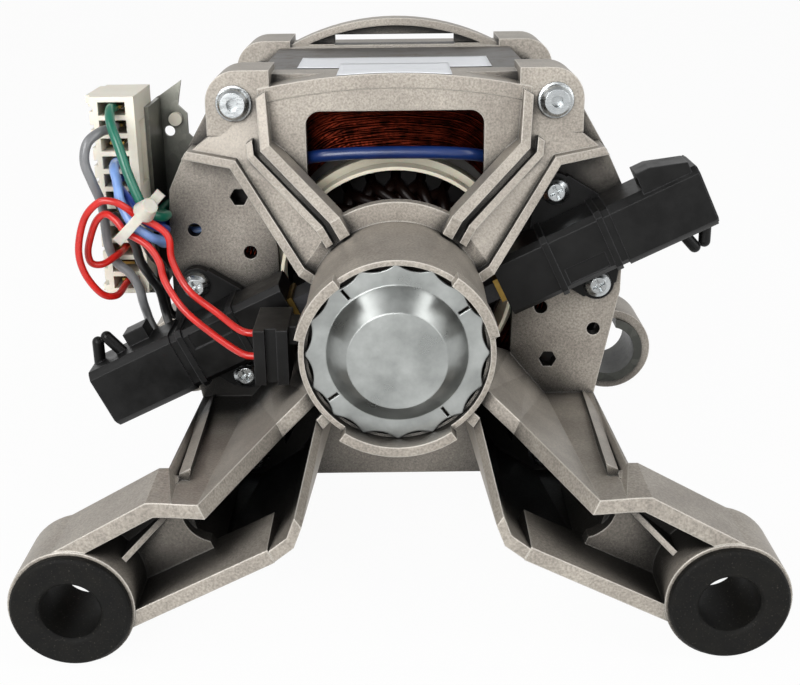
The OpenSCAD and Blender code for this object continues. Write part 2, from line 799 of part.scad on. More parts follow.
// Coil frames: moulded rings that keep the end turns off the armature
frame_in_r = stator_bore_r + 0.8;
frame_out_r = coil_in_r - 0.5;
frame_lip = 0.2;
collar_y = coil_rear_y - 6.5;
collar_r = min(frame_in_r + 1, lobe_in_x - 0.6);

module coil_frame_rear() {
    color("#e6dfc4")
        place()
            turned([
                [frame_in_r, collar_y], [collar_r, collar_y], [collar_r, coil_rear_y - frame_lip],
                [frame_out_r, coil_rear_y - frame_lip], [frame_out_r, stack_y], [frame_in_r, stack_y]
            ]);
}

module coil_frame_front() {
    color("#e6dfc4")
        place()
            turned([
                [frame_in_r, stack_end], [frame_out_r, stack_end],
                [frame_out_r, coil_front_y + 1], [frame_in_r, coil_front_y + 1]
            ]);
}

// Stator bolts: flanged heads on the rear ears, threaded into the front shield
module stator_bolts() {
    head_h = 4;
    color("#c9ccd0")
        place()
            for (x = [-bolt_x, bolt_x], z = [-bolt_z, bolt_z])
                translate([x, 0, z])
                    difference() {
                        turned([
                            [0, ear_y - head_h], [bolt_head_d / 2 - 1.6, ear_y - head_h],
                            [bolt_head_d / 2 - 0.9, ear_y - head_h + 1], [bolt_head_d / 2 - 0.6, ear_y - 1],
                            [bolt_head_d / 2, ear_y - 0.8], [bolt_head_d / 2, ear_y], [bolt_d / 2, ear_y],
                            [bolt_d / 2, stack_end + 12], [0, stack_end + 12]
                        ]);
                        rod(1.6, ear_y - head_h - 1, ear_y - 1.4);
                    }
}

// Brush gear, drawn along the brush axis: X runs outwards, Y along the shaft
tube_half_t = brush_t / 2 + 0.15 + tube_wall;
tube_half_w = brush_w / 2 + 0.15 + tube_wall;
tube_start = holder_start - 1.5;
tube_end = holder_end - 14;
tab_floor = lobe_y - brush_y;
tab_t = 4;
holder_half = holder_w / 2;
spring_end = tube_end - 1;
brush_contact_r = comm_r + run_gap;

module brush_axis(turn) {
    rotate([0, turn - brush_angle, 0])
        translate([0, brush_y, -brush_offset])
            children();
}

module brush_screw_places() {
    for (turn = [0, 180], side = [-1, 1])
        rotate([0, turn - brush_angle, 0])
            translate([tab_station, 0, side * tab_pitch / 2 - brush_offset])
                children();
}

// Half outline of the fixing tabs, round at the screws
module tab_outline() {
    for (side = [-1, 1])
        translate([tab_station, side * tab_pitch / 2])
            circle(r = 5);
    polygon([
        [tab_station - 11, -holder_half], [tab_station - 5.2, -tab_pitch / 2 - 2.2],
        [tab_station + 5.2, -tab_pitch / 2 - 2.2], [tab_station + 11, -holder_half],
        [tab_station + 11, holder_half], [tab_station + 5.2, tab_pitch / 2 + 2.2],
        [tab_station - 5.2, tab_pitch / 2 + 2.2], [tab_station - 11, holder_half]
    ]);
}

// Cross section of the holder body with broken edges
module holder_section(grow) {
    h = holder_half + grow;
    cut = 1.6;
    polygon([
        [-h, cut - h], [cut - h, -h], [h - cut, -h], [h, cut - h],
        [h, h - cut], [h - cut, h], [cut - h, h], [-h, h - cut]
    ]);
}

// Length of holder section from one station to another along the brush axis
module holder_run(from, to, grow) {
    translate([from, 0, 0])
        rotate([90, 0, 90])
            linear_extrude(to - from)
                holder_section(grow);
}

module brush_holder(turn) {
    rib_w = 1.8;
    shell_half = holder_half + 0.6;
    shell_from = tab_station + 10.4;
    socket_half = holder_half - 1.8;
    clip_from = holder_end - 16;
    peg_len = 6.6;
    brush_axis(turn)
        difference() {
            union() {
                holder_run(holder_start, holder_end, 0);
                for (rib = [tab_station - 10, tab_station + 6.4])
                    holder_run(rib, rib + rib_w, 0.7);
                translate([shell_from, 0, 0])
                    rotate([90, 0, 90])
                        linear_extrude(holder_end - 0.4 - shell_from)
                            intersection() {
                                square(2 * shell_half, center = true);
                                circle(r = 1.27 * shell_half);
                            }
                slab(tab_floor - tab_t, tab_floor)
                    tab_outline();
                if (turn == 180)
                    translate([clip_from - 3, 0, -shell_half - 4])
                        cube([6.6, 7, 5]);
                else
                    slab(-holder_half, 0.6)
                        polygon([
                            [clip_from, shell_half - 1], [clip_from + 14, shell_half - 1],
                            [clip_from + 14, shell_half + 2], [clip_from + 4, shell_half + 5.2],
                            [clip_from, shell_half + 5.2]
                        ]);
                for (peg = [[holder_end - 10, 17], [holder_end - 2.2, -25]])
                    translate([peg[0], 0, 0.6 - shell_half])
                        rotate([0, 180 - peg[1], 0]) {
                            cylinder(r = 1.7, h = peg_len);
                            translate([0, 0, peg_len])
                                sphere(r = 1.7);
                        }
            }
            translate([holder_start - 1, -tube_half_w - seat_gap, -tube_half_t - seat_gap])
                cube([tube_end - holder_start + 1, 2 * (tube_half_w + seat_gap), 2 * (tube_half_t + seat_gap)]);
            translate([tube_end, -socket_half, -socket_half])
                cube([holder_end - tube_end + 1, 2 * socket_half, 2 * socket_half]);
            translate([tab_station - 7, -holder_half - 1, 1.8 - holder_half])
                cube([12, 1.5, 4.6]);
            for (side = [-1, 1])
                translate([0, 0, side * tab_pitch / 2]) {
                    rod(tab_screw_d / 2 + 0.15, tab_floor - tab_t - 1, tab_floor + 1, [tab_station, 0]);
                    rod(tab_screw_d + 0.6, -holder_half - 1, tab_floor - tab_t, [tab_station, 0]);
                }
        }
}

module brush_holder_left() {
    color("#17181a")
        place()
            brush_holder(180);
}

module brush_holder_right() {
    color("#17181a")
        place()
            brush_holder(0);
}

module brush_tube(turn) {
    brush_axis(turn)
        translate([tube_start, 0, 0])
            rotate([90, 0, 90])
                linear_extrude(tube_end - tube_start)
                    difference() {
                        square([2 * tube_half_w, 2 * tube_half_t], center = true);
                        square([2 * (tube_half_w - tube_wall), 2 * (tube_half_t - tube_wall)], center = true);
                    }
}

module brush_tube_left() {
    color("#c6a255")
        place()
            brush_tube(180);
}

module brush_tube_right() {
    color("#c6a255")
        place()
            brush_tube(0);
}

module carbon_brush(turn) {
    difference() {
        brush_axis(turn)
            translate([8, -brush_w / 2, -brush_t / 2])
                cube([brush_end - 8, brush_w, brush_t]);
        rod(brush_contact_r, brush_y - brush_w, brush_y + brush_w);
    }
}

module brush_left() {
    color("#3a3a3c")
        place()
            carbon_brush(180);
}

module brush_right() {
    color("#3a3a3c")
        place()
            carbon_brush(0);
}

// Spring behind the brush, straight for one wire diameter at both ends
curl_points = 8;
spring_mid_r = (spring_d - spring_wire_d) / 2;
spring_from = brush_end + 0.1;
spring_run = spring_end - 0.1 - spring_from - 2 * spring_wire_d;
spring_wire = concat(
    [[spring_from, spring_mid_r, 0]],
    [
        for (i = [0:spring_curls * curl_points])
            let (a = 360 * i / curl_points)
            [spring_from + spring_wire_d + spring_run * i / (spring_curls * curl_points),
             spring_mid_r * cos(a), spring_mid_r * sin(a)]
    ],
    [[spring_end - 0.1, spring_mid_r, 0]]
);
echo(least_gap_in_brush_spring_mm = least_gap(spring_wire, 6, spring_wire_d));

module brush_spring_left() {
    color("#b9bcc0")
        place()
            brush_axis(180)
                tube(spring_wire, spring_wire_d, 6);
}

module brush_spring_right() {
    color("#b9bcc0")
        place()
            brush_axis(0)
                tube(spring_wire, spring_wire_d, 6);
}

// Brass plug that closes the tube and carries the blade of the brush lead
module brush_tab(turn) {
    plug_half_t = tube_half_t - tube_wall - seat_gap;
    plug_half_w = tube_half_w - tube_wall - seat_gap;
    blade_t = 0.8;
    blade_w = 6.3;
    brush_axis(turn) {
        translate([spring_end, -plug_half_w, -plug_half_t])
            cube([1.6, 2 * plug_half_w, 2 * plug_half_t]);
        translate([spring_end, -blade_w / 2, -blade_t / 2])
            cube([holder_end - 2 - spring_end, blade_w, blade_t]);
    }
}

module brush_tab_left() {
    color("#c6a255")
        place()
            brush_tab(180);
}

module brush_tab_right() {
    color("#c6a255")
        place()
            brush_tab(0);
}

module brush_holder_screws() {
    head_y = lobe_y - tab_t;
    color("#c3c7cc")
        place()
            brush_screw_places()
                difference() {
                    turned([
                        [0, head_y - 3], [tab_screw_d - 1.6, head_y - 3], [tab_screw_d - 0.4, head_y - 2],
                        [tab_screw_d, head_y - 0.8], [tab_screw_d, head_y], [tab_screw_d / 2, head_y],
                        [tab_screw_d / 2, lobe_y + cast_wall], [0, lobe_y + cast_wall]
                    ]);
                    for (turn = [0, 90])
                        translate([0, head_y - 3.2, 0])
                            rotate([0, turn, 0])
                                translate([-1.9, 0, -0.4])
                                    cube([3.8, 1.8, 0.8]);
                }
}

// Tacho generator: coil in the hub, toothed steel cap over it and a plug beside it
module tacho_coil() {
    in_r = magnet_d / 2 + 1.5;
    out_r = chamber_r - 0.1;
    color("#26272a")
        place()
            turned([
                [in_r, cap_seat_y + 4], [out_r, cap_seat_y + 4], [out_r, cap_seat_y + 6.5], [out_r - 3, cap_seat_y + 6.5],
                [out_r - 3, chamber_end - 2.5], [out_r, chamber_end - 2.5], [out_r, chamber_end], [in_r, chamber_end]
            ]);
}

module tacho_cap() {
    flange_y = cap_seat_y - cap_t;
    top_y = flange_y - cap_rise;
    dome_r = 17.8;
    top_r = cap_top_d / 2;
    bite_r = cap_d / 2 - 1.4;
    bite_cos = cos(169 / cap_teeth);
    tooth_r = (bite_r * bite_r + cap_d * cap_d / 4 - cap_d * bite_r * bite_cos) / (cap_d * bite_cos - 2 * bite_r);
    color("#b4b8bb")
        place()
            difference() {
                turned([
                    [0, top_y], [top_r, top_y], [dome_r, flange_y], [cap_d / 2, flange_y], [cap_d / 2, cap_seat_y],
                    [dome_r - cap_t / 2, cap_seat_y], [top_r - cap_t / 2, top_y + cap_t], [0, top_y + cap_t]
                ]);
                for (k = [0:cap_teeth - 1])
                    rotate([0, (k + 0.5) * 360 / cap_teeth, 0])
                        rod(tooth_r, flange_y - 1, cap_seat_y + 1, [bite_r + tooth_r, 0]);
                for (slit = [34, 129, 215, 307])
                    rotate([0, -slit, 0])
                        translate([dome_r + 0.6, flange_y - 1, -0.4])
                            cube([3, cap_t + 2, 0.8]);
            }
}

plug_x = 33;
plug_w = 9;
plug_h = 15;
plug_z = -6;
plug_from = 15;
plug_to = 35;

module tacho_plug() {
    color("#1b1c1e")
        place()
            difference() {
                union() {
                    translate([-plug_x - plug_w / 2, plug_from, plug_z - plug_h / 2])
                        cube([plug_w, plug_to - plug_from, plug_h]);
                    translate([-plug_x, plug_from + 5, -4])
                        cube([plug_x - hub_r - 0.05, 10, 5]);
                }
                translate([-plug_x - 1.5, plug_from - 1, plug_z - plug_h / 2 - 1])
                    cube([3, 3, plug_h + 2]);
            }
}

module tacho_magnet() {
    color("#3c3d40")
        place()
            turned(ring_profile(4 + seat_gap, magnet_d / 2, cap_seat_y + 3, chamber_end - 2));
}

// Ball bearings: outer ring with its shields, inner ring, and balls in a cage
module bearing_outer(y) {
    mid = y + bearing_w / 2;
    land_r = ball_ring_r + 1.9;
    shield_r = ball_ring_r - 1.4;
    difference() {
        turned([
            [land_r, y], [bearing_r, y], [bearing_r, y + bearing_w], [land_r, y + bearing_w],
            [shield_r, y + bearing_w - 0.3], [shield_r, y + bearing_w - 1], [land_r, y + bearing_w - 1],
            [land_r, y + 1], [shield_r, y + 1], [shield_r, y + 0.3]
        ]);
        translate([0, mid, 0])
            rotate([-90, 0, 0])
                rotate_extrude()
                    translate([ball_ring_r, 0])
                        circle(d = ball_d + 2 * race_gap, $fn = 48);
    }
}

module bearing_inner(y) {
    difference() {
        turned(ring_profile(journal_d / 2 + seat_gap, ball_ring_r - 1.8, y, y + bearing_w));
        translate([0, y + bearing_w / 2, 0])
            rotate([-90, 0, 0])
                rotate_extrude()
                    translate([ball_ring_r, 0])
                        circle(d = ball_d + 2 * race_gap, $fn = 48);
    }
}

module ball_cage(y) {
    mid = y + bearing_w / 2;
    turned(ring_profile(ball_ring_r - 0.8, ball_ring_r + 0.8, mid - 1.6, mid + 1.6));
    for (k = [0:ball_count - 1])
        rotate([0, k * 360 / ball_count, 0])
            translate([ball_ring_r, mid, 0])
                sphere(d = ball_d, $fn = 48);
}

module rear_bearing_outer() {
    color("#9fa3a8")
        place()
            bearing_outer(rear_bearing_y);
}

module front_bearing_outer() {
    color("#9fa3a8")
        place()
            bearing_outer(front_bearing_y);
}

module rear_bearing_inner() {
    color("#b5b9bd")
        place()
            bearing_inner(rear_bearing_y);
}

module front_bearing_inner() {
    color("#b5b9bd")
        place()
            bearing_inner(front_bearing_y);
}

module rear_ball_cage() {
    color("#d2d5d8")
        place()
            ball_cage(rear_bearing_y);
}

module front_ball_cage() {
    color("#d2d5d8")
        place()
            ball_cage(front_bearing_y);
}

// Foot bushes of rubber and split steel sleeves
module foot_bush() {
    mouth_depth = (bush_mouth_d - bush_bore_d) / 2;
    bush_end = rear_boss_end;
    translate([foot_x, 0, -foot_drop])
        turned([
            [bush_mouth_d / 2, bush_face_y], [bush_flange_d / 2 - 0.6, bush_face_y],
            [bush_flange_d / 2, bush_face_y + 0.6], [bush_flange_d / 2, rear_boss_y], [bush_d / 2, rear_boss_y],
            [bush_d / 2, bush_end], [bush_bore_d / 2, bush_end], [bush_bore_d / 2, bush_face_y + mouth_depth]
        ]);
}

module foot_bush_left() {
    color("#1d1d1e")
        place()
            mirror([1, 0, 0])
                foot_bush();
}

module foot_bush_right() {
    color("#1d1d1e")
        place()
            foot_bush();
}

module front_sleeve() {
    difference() {
        rod(sleeve_d / 2, front_boss_y - 1.5, front_boss_y + front_boss_len, foot_at);
        rod(sleeve_bore_d / 2, front_boss_y - 3, front_boss_y + front_boss_len + 1, foot_at);
        translate([foot_x - sleeve_slit / 2, front_boss_y - 3, -foot_drop])
            cube([sleeve_slit, front_boss_len + 4, sleeve_d]);
    }
}

module front_sleeve_left() {
    color("#8f9194")
        place()
            mirror([1, 0, 0])
                front_sleeve();
}

module front_sleeve_right() {
    color("#8f9194")
        place()
            front_sleeve();
}

// Terminal block on its sheet steel bracket
side_x = max(lobe_x, stack_w / 2 + 6.5);
bracket_x = -side_x - 5.5;
block_y = ear_y - 2;
block_low = -0.6;
block_wall = 0.8;
block_h = ways * way_pitch + 2 * block_wall;
block_x = bracket_x - block_w;
cell_w = block_w - 5;
cell_h = way_pitch - 1.4;
cell_depth = 12;
sheet_y = block_y + 13;
sheet_top = block_low + block_h - 5;
foot_y = stack_y + 12;
function way_z(i) = block_low + block_wall + (i + 0.5) * way_pitch;
way_x = bracket_x - block_w / 2;

module terminal_block() {
    color("#e9e2c8")
        place()
            difference() {
                union() {
                    rod(2, foot_y - 2, foot_y, [bracket_x + 5.6, sheet_top - 6.4]);
                    translate([block_x, block_y, block_low])
                        cube([block_w, block_depth, block_h]);
                    for (end = [block_low, block_low + block_h - 2])
                        translate([block_x - 1.4, block_y + 3, end])
                            cube([2, block_depth - 6, 2]);
                }
                for (i = [0:ways - 1]) {
                    translate([way_x - cell_w / 2, block_y - 1, way_z(i) - cell_h / 2])
                        cube([cell_w, cell_depth + 1, cell_h]);
                    translate([block_x - 1, block_y - 1, way_z(i) - 0.7])
                        cube([2, 7, 1.4]);
                }
                for (pocket = [5, 31])
                    translate([bracket_x - 1.4, block_y + 4, block_low + pocket])
                        cube([2, 8, 18]);
            }
}

module terminal_contacts() {
    color("#cbb06a")
        place()
            for (i = [0:ways - 1])
                translate([way_x - 2, block_y + 3, way_z(i) - 0.4])
                    cube([4, cell_depth - 3, 0.8]);
}

module terminal_bracket() {
    flange_x = -stack_w / 2;
    color("#b9bdbf")
        place()
            difference() {
                union() {
                    translate([bracket_x, sheet_y, block_low - 4])
                        cube([sheet_t, foot_y + sheet_t - sheet_y, sheet_top - block_low + 4]);
                    slab(foot_y, foot_y + sheet_t)
                        polygon([
                            [bracket_x, block_low - 2], [flange_x, block_low - 2], [flange_x, sheet_top - 14],
                            [bracket_x + 9, sheet_top - 11], [bracket_x + 9, sheet_top - 5],
                            [bracket_x + 6.4, sheet_top - 2.4], [bracket_x + 7.8, sheet_top + 5],
                            [bracket_x + 1.2, sheet_top + 0.6], [bracket_x, sheet_top]
                        ]);
                    translate([flange_x - sheet_t, foot_y, block_low - 2])
                        cube([sheet_t, 20, 40]);
                    translate([block_x + 2, block_y + 4, block_low - sheet_t])
                        cube([bracket_x - block_x - 1, block_depth - 8, sheet_t]);
                }
                rod(1.6, foot_y - 1, foot_y + sheet_t + 1, [bracket_x + 3.4, sheet_top - 10.2]);
                rivet_places()
                    rotate([0, 90, 0])
                        cylinder(d = 3.2 + 2 * seat_gap, h = 6, center = true);
            }
}

module rivet_places() {
    for (z = [block_low + 5, block_low + 31])
        translate([-stack_w / 2, foot_y + 12, z])
            children();
}

module bracket_rivets() {
    color("#c3c7cc")
        place()
            rivet_places()
                rotate([0, -90, 0]) {
                    cylinder(d = 3.2, h = sheet_t);
                    translate([0, 0, sheet_t])
                        cylinder(d1 = 6, d2 = 4, h = 1.4);
                }
}

// Leads: points chosen by hand for a casting side 66.5 out, with stations counted from the brush plates
lead_steps = 4;
lead_dx = 66.5 - side_x;
plug_side = -plug_x - plug_w / 2 - 0.3 - lead_dx;
in_cell = block_y - lobe_y + 2.9;
out_of_cell = block_y - lobe_y - 2;
in_notch = (cast_wall + lobe_len) / 2;
function at_coil(z) = -sqrt(pow(coil_out_r + 0.5, 2) - z * z) - lead_dx;
function from_way(i) = [for (y = [in_cell, out_of_cell]) [way_x - lead_dx, y, way_z(i)]];
function to_coil(z) = [
    [-68, in_notch - 2.2, z], [-65.4, in_notch - 0.2, z], [-61.6, in_notch, z], [at_coil(z), in_notch, z]
];

green_route = concat(from_way(10), [
    [-77, -15.5, 49.5], [-74.6, -18.5, 43.5], [-72, -20.4, 35.5], [-68.4, -21.2, 27.2], [-65, -19, 24.8],
    [-64, -14, 24], [-66, -7, 22.6], [-68.7, 0, 21.4], [-68.8, 6, 21], [-68.4, lobe_len, 21],
    [-66, lobe_len + 4.4, 21], [-stack_w / 2 - 0.15 - lead_dx, lobe_len + 4.6, 21]
]);
grey_route = concat(from_way(9), [
    [-80.5, -14.5, 47.4], [-83.4, -17.6, 45], [-84.4, -18.4, 40], [-83, -18, 34.5], [-81.8, -16, 29],
    [-82, -12.6, 24], [-81.8, -11.6, 15], [-80, -11, 9.6], [-76.8, -11, 6.6], [-74.4, -10.6, 2], [-74, -8.4, -3.4],
    [-74.1, -4.6, -7.6], [-74.2, -1, -11.4], [-73.8, 3, -15.4], [-72, 6.4, -18], [-68.6, in_notch, -18.8],
    [-63, in_notch, -18.8], [at_coil(-18.8), in_notch, -18.8]
]);
light_blue_route = concat(from_way(7), [
    [-77.4, -15, 37], [-76, -18.4, 34], [-75, -21, 29.5], [-71.8, -23, 23.7], [-68, -22, 20.2], [-65.4, -18, 17.6],
    [-66, -11, 15], [-68.6, -4, 13.9], [-68.9, 2.4, 13.6]
], to_coil(13.6));
dark_blue_route = concat(from_way(6), [
    [-76.6, -14.6, 32], [-73.4, -17.6, 29], [-70.5, -19.6, 25], [-67, -18, 22], [-65, -14, 20], [-66, -8, 18.4],
    [-68.6, -3, 17.5], [-68.9, 2.4, 17]
], to_coil(17));
red_upper_route = concat(from_way(0), [
    [-79.4, -17, 1.6], [-82.6, -21, 3.4], [-86, -23.6, 10], [-87, -24, 17], [-84.6, -24, 25.6], [-80, -25, 30.4],
    [-76, -25.2, 30.6], [-72.8, -24.4, 28.6], [-69.9, -23.6, 25.7], [-65.4, -23.4, 23.4], [-62.2, -23.6, 20],
    [-61.6, -24, 13.5], [-57.4, -25.6, 5.6], [-49, -31, 0.6], [-42, -38, -2], [plug_side, -39, -2.5]
]);
red_lower_route = concat(from_way(2), [
    [-79.6, -14.4, 12.2], [-82.4, -17.6, 11], [-85, -19.2, 11.8], [-85.6, -19.8, 15], [-84.4, -20.4, 19.4],
    [-82, -21.4, 24.4], [-79, -22.6, 26.6], [-76, -23.8, 25], [-73.5, -24.4, 21.9], [-68, -25, 18.4],
    [-65, -25.6, 14], [-63.4, -26.4, 8],
    [-58.4, -28.4, 0.6], [-50, -33, -5], [-42, -38, -8.6], [plug_side, -39, -9]
]);
black_upper_route = concat(from_way(4), [
    [-78.2, -15.5, 24], [-76.6, -19.6, 23.6], [-73.9, -21.4, 21.5], [-72.2, -20.8, 17.6], [-71.4, -19, 12],
    [-70, -15, 6.6], [-68.8, -9, 0.4], [-68.9, -3, -7.6], [-69, 2.4, -13.6]
], to_coil(-15.4));
black_lower_route = concat(from_way(5), [
    [-76.8, -14.4, 27], [-74.6, -17.4, 25], [-72.4, -18.6, 22.4], [-70.4, -18, 18.6], [-68.8, -15.8, 13.2],
    [-67, -11.4, 8.4], [-67.4, -6.5, 3.6], [-68.6, -3, -1.8], [-69, 2.4, -9.2]
], to_coil(-12));
coil_lead_end = coil_rear_y - lobe_y - 1.6;
coil_lead_x = window_w / 2;
coil_lead_half = [
    [0, -3.8, 38.9], [12, -3.6, 38.7], [coil_lead_x - 4.5, -2.6, 38], [coil_lead_x, 0.2, 36.8],
    [coil_lead_x + 3.4, coil_lead_end, 35.2]
];
coil_lead_route = concat(
    [for (k = [4:-1:1]) [-coil_lead_half[k][0], coil_lead_half[k][1], coil_lead_half[k][2]]], coil_lead_half);

module lead(route, d, dx = lead_dx) {
    place()
        translate([dx, lobe_y, 0])
            tube(curve(route, lead_steps), d, 8);
}

module lead_green() {
    color("#1d6b45")
        lead(green_route, lead_d);
}

module lead_grey() {
    color("#6d7073")
        lead(grey_route, lead_d);
}

module lead_light_blue() {
    color("#6f93c8")
        lead(light_blue_route, lead_d);
}

module lead_dark_blue() {
    color("#2a4f9e")
        lead(dark_blue_route, lead_d);
}

module lead_red_upper() {
    color("#c8281f")
        lead(red_upper_route, thin_lead_d);
}

module lead_red_lower() {
    color("#c8281f")
        lead(red_lower_route, thin_lead_d);
}

module lead_black_upper() {
    color("#141415")
        lead(black_upper_route, lead_d);
}

module lead_black_lower() {
    color("#141415")
        lead(black_lower_route, lead_d);
}

module coil_lead_blue() {
    color("#3565b0")
        lead(coil_lead_route, lead_d + 0.9, 0);
}

// Cable tie round the bundle, with its head and the end of its strap
tie_at = [-side_x - 5, lobe_y - 22, 24];
tie_r = 6.2;
tie_w = 2.8;
strap_t = 1.1;

module cable_tie() {
    color("#eeeeea")
        place()
            translate(tie_at)
                rotate([0, -46, 0]) {
                    difference() {
                        cylinder(r = tie_r + strap_t, h = tie_w, center = true);
                        cylinder(r = tie_r, h = tie_w + 2, center = true);
                    }
                    rotate([0, 0, -35])
                        translate([tie_r + 2.2, 0, 0]) {
                            rotate([0, 90, 0])
                                cylinder(r1 = 3.1, r2 = 2.2, h = 4.2, center = true);
                            translate([-strap_t / 2, 2, -tie_w / 2])
                                cube([strap_t, 5, tie_w]);
                        }
                }
}

// Rotor: shaft, armature, commutator, fan and pulley
stub_r = 4;
stub_end = rear_bearing_y - 1;

module shaft() {
    color("#b7babd")
        place()
            turned([
                [0, cap_seat_y + 2.4], [stub_r, cap_seat_y + 2.4], [stub_r, stub_end], [journal_d / 2, stub_end],
                [journal_d / 2, rear_bearing_y + bearing_w], [shaft_d / 2, rear_bearing_y + bearing_w],
                [shaft_d / 2, front_bearing_y], [journal_d / 2, front_bearing_y], [journal_d / 2, front_bearing_end],
                [nose_d / 2, front_bearing_end], [nose_d / 2, shaft_end], [0, shaft_end]
            ]);
}

module armature_core() {
    color("#5e5d5c")
        place()
            difference() {
                rod(rotor_r, stack_y, stack_end);
                rod(shaft_d / 2 + seat_gap, stack_y - 1, stack_end + 1);
                for (k = [0:rotor_slots - 1])
                    rotate([0, k * 360 / rotor_slots, 0])
                        translate([rotor_r - slot_depth, stack_y - 1, -slot_w / 2])
                            cube([slot_depth + 1, stack_len + 2, slot_w]);
            }
}

// Winding: end turns on both sides of the core, joined by the bars in its slots
module armature_winding() {
    head_r = rotor_r - 2.6;
    slot_fill = slot_w / 2 - 0.2;
    fill_from = rotor_r - slot_depth + 0.3;
    rear_y = comm_end + 0.4;
    color("#5b2c17")
        place() {
            turned([
                [shaft_d / 2 + 1, rear_y], [comm_r - 3, rear_y], [head_r - 3, rear_y + 1.6], [head_r, rear_y + 4.6],
                [head_r, stack_y - 0.2], [shaft_d / 2 + 1, stack_y - 0.2]
            ]);
            turned([
                [shaft_d / 2 + 1, stack_end + 0.2], [head_r, stack_end + 0.2], [head_r, stack_end + 5],
                [head_r - 3, stack_end + 8], [head_r - 9, stack_end + 9.6], [shaft_d / 2 + 1, stack_end + 9.6]
            ]);
            for (k = [0:rotor_slots - 1])
                rotate([0, k * 360 / rotor_slots, 0])
                    translate([fill_from, stack_y - 1, -slot_fill])
                        cube([head_r - 0.4 - fill_from, stack_len + 2, 2 * slot_fill]);
        }
}

bar_in_r = comm_r - 6;

module commutator_bars() {
    step = 360 / comm_bars;
    gap_deg = bar_gap / comm_r * 180 / PI;
    riser_r = comm_r + 1.5;
    color("#b8703c")
        place()
            for (k = [0:comm_bars - 1])
                turned_sector([
                    [bar_in_r + seat_gap, comm_y], [comm_r, comm_y], [comm_r, comm_end - 3], [riser_r, comm_end - 2.6],
                    [riser_r, comm_end], [bar_in_r + seat_gap, comm_end]
                ], k * step + gap_deg / 2, (k + 1) * step - gap_deg / 2);
}

module commutator_hub() {
    color("#2b1d18")
        place()
            turned(ring_profile(shaft_d / 2 + seat_gap, bar_in_r, comm_y - 1, comm_end));
}

// Fan: plain disc with straight blades on its front, pressed on the shaft
fan_y = stack_end + 11.5;

module cooling_fan() {
    hub_fan_r = shaft_d / 2 + 5;
    blade_t = 1.6;
    color("#2a2c2e")
        place() {
            turned(ring_profile(shaft_d / 2 + seat_gap, hub_fan_r, fan_y, fan_y + 7));
            turned(ring_profile(hub_fan_r - 1, fan_r, fan_y, fan_y + 1.4));
            for (k = [0:fan_blades - 1])
                rotate([0, k * 360 / fan_blades, 0])
                    translate([hub_fan_r + 6, fan_y + 1, -blade_t / 2])
                        cube([fan_r - hub_fan_r - 7, 5.6, blade_t]);
        }
}

// Pulley with ribs for a poly-V belt between two plain collars
module drive_pulley() {
    rib_depth = 1.8;
    rib_r = pulley_d / 2;
    ribs_from = pulley_y + (pulley_len - pulley_ribs * rib_pitch) / 2;
    teeth = [
        for (i = [0:pulley_ribs - 1])
            each [
                [rib_r, ribs_from + (i + 0.12) * rib_pitch], [rib_r - rib_depth, ribs_from + (i + 0.44) * rib_pitch],
                [rib_r - rib_depth, ribs_from + (i + 0.56) * rib_pitch], [rib_r, ribs_from + (i + 0.88) * rib_pitch]
            ]
    ];
    color("#8d9094")
        place()
            turned(concat(
                [[nose_d / 2 + seat_gap, pulley_y], [rib_r, pulley_y]],
                teeth,
                [[rib_r, pulley_end], [nose_d / 2 + seat_gap, pulley_end]]
            ));
}

rear_end_shield();
front_end_shield();
stator_core();
field_coil_upper();
field_coil_lower();
field_winding_upper();
field_winding_lower();
coil_frame_rear();
coil_frame_front();
stator_bolts();
brush_holder_left();
brush_holder_right();
brush_tube_left();
brush_tube_right();
brush_spring_left();
brush_spring_right();
brush_tab_left();
brush_tab_right();
brush_holder_screws();
tacho_coil();
tacho_cap();
tacho_plug();
rear_bearing_outer();
front_bearing_outer();
foot_bush_left();
foot_bush_right();
front_sleeve_left();
front_sleeve_right();
terminal_block();
terminal_contacts();
terminal_bracket();
bracket_rivets();
lead_green();
lead_grey();
lead_light_blue();
lead_dark_blue();
lead_red_upper();
lead_red_lower();
lead_black_upper();
lead_black_lower();
coil_lead_blue();
cable_tie();
shaft();
armature_core();
armature_winding();
commutator_bars();
commutator_hub();
rear_bearing_inner();
front_bearing_inner();
tacho_magnet();
cooling_fan();
drive_pulley();
rear_ball_cage();
front_ball_cage();
brush_left();
brush_right();
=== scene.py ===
import math

import bpy
import numpy as np
from mathutils import Matrix, Vector


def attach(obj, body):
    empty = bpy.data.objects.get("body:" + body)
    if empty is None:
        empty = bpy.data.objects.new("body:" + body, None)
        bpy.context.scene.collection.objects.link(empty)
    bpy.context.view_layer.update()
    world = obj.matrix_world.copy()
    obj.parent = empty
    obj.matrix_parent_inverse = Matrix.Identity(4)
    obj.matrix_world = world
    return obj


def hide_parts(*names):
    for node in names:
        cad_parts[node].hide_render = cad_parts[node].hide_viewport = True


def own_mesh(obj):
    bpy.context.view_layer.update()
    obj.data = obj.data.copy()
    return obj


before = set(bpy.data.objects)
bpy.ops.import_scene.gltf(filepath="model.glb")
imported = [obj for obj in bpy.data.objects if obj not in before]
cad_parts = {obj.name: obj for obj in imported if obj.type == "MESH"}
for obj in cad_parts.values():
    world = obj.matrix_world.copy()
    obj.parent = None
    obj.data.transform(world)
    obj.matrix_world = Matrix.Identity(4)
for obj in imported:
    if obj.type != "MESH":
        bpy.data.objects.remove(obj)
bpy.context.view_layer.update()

# Front and rear end shields: die-cast aluminium, tumbled after casting, so the skin is a fine warm grey
# grain with darker flow marks. Every edge is painted brighter, rubbed wear with a painted highlight, and
# painted shade darkens the hollows. Feet, spokes, brush plates and bearing hub are one casting; four long
# bolts clamp both shields on the stack.
MM = 0.001
FAC, LOW, HIGH, MIXED = 0, 6, 7, 2  # a colour Mix node's sockets: share, both colours, and the result


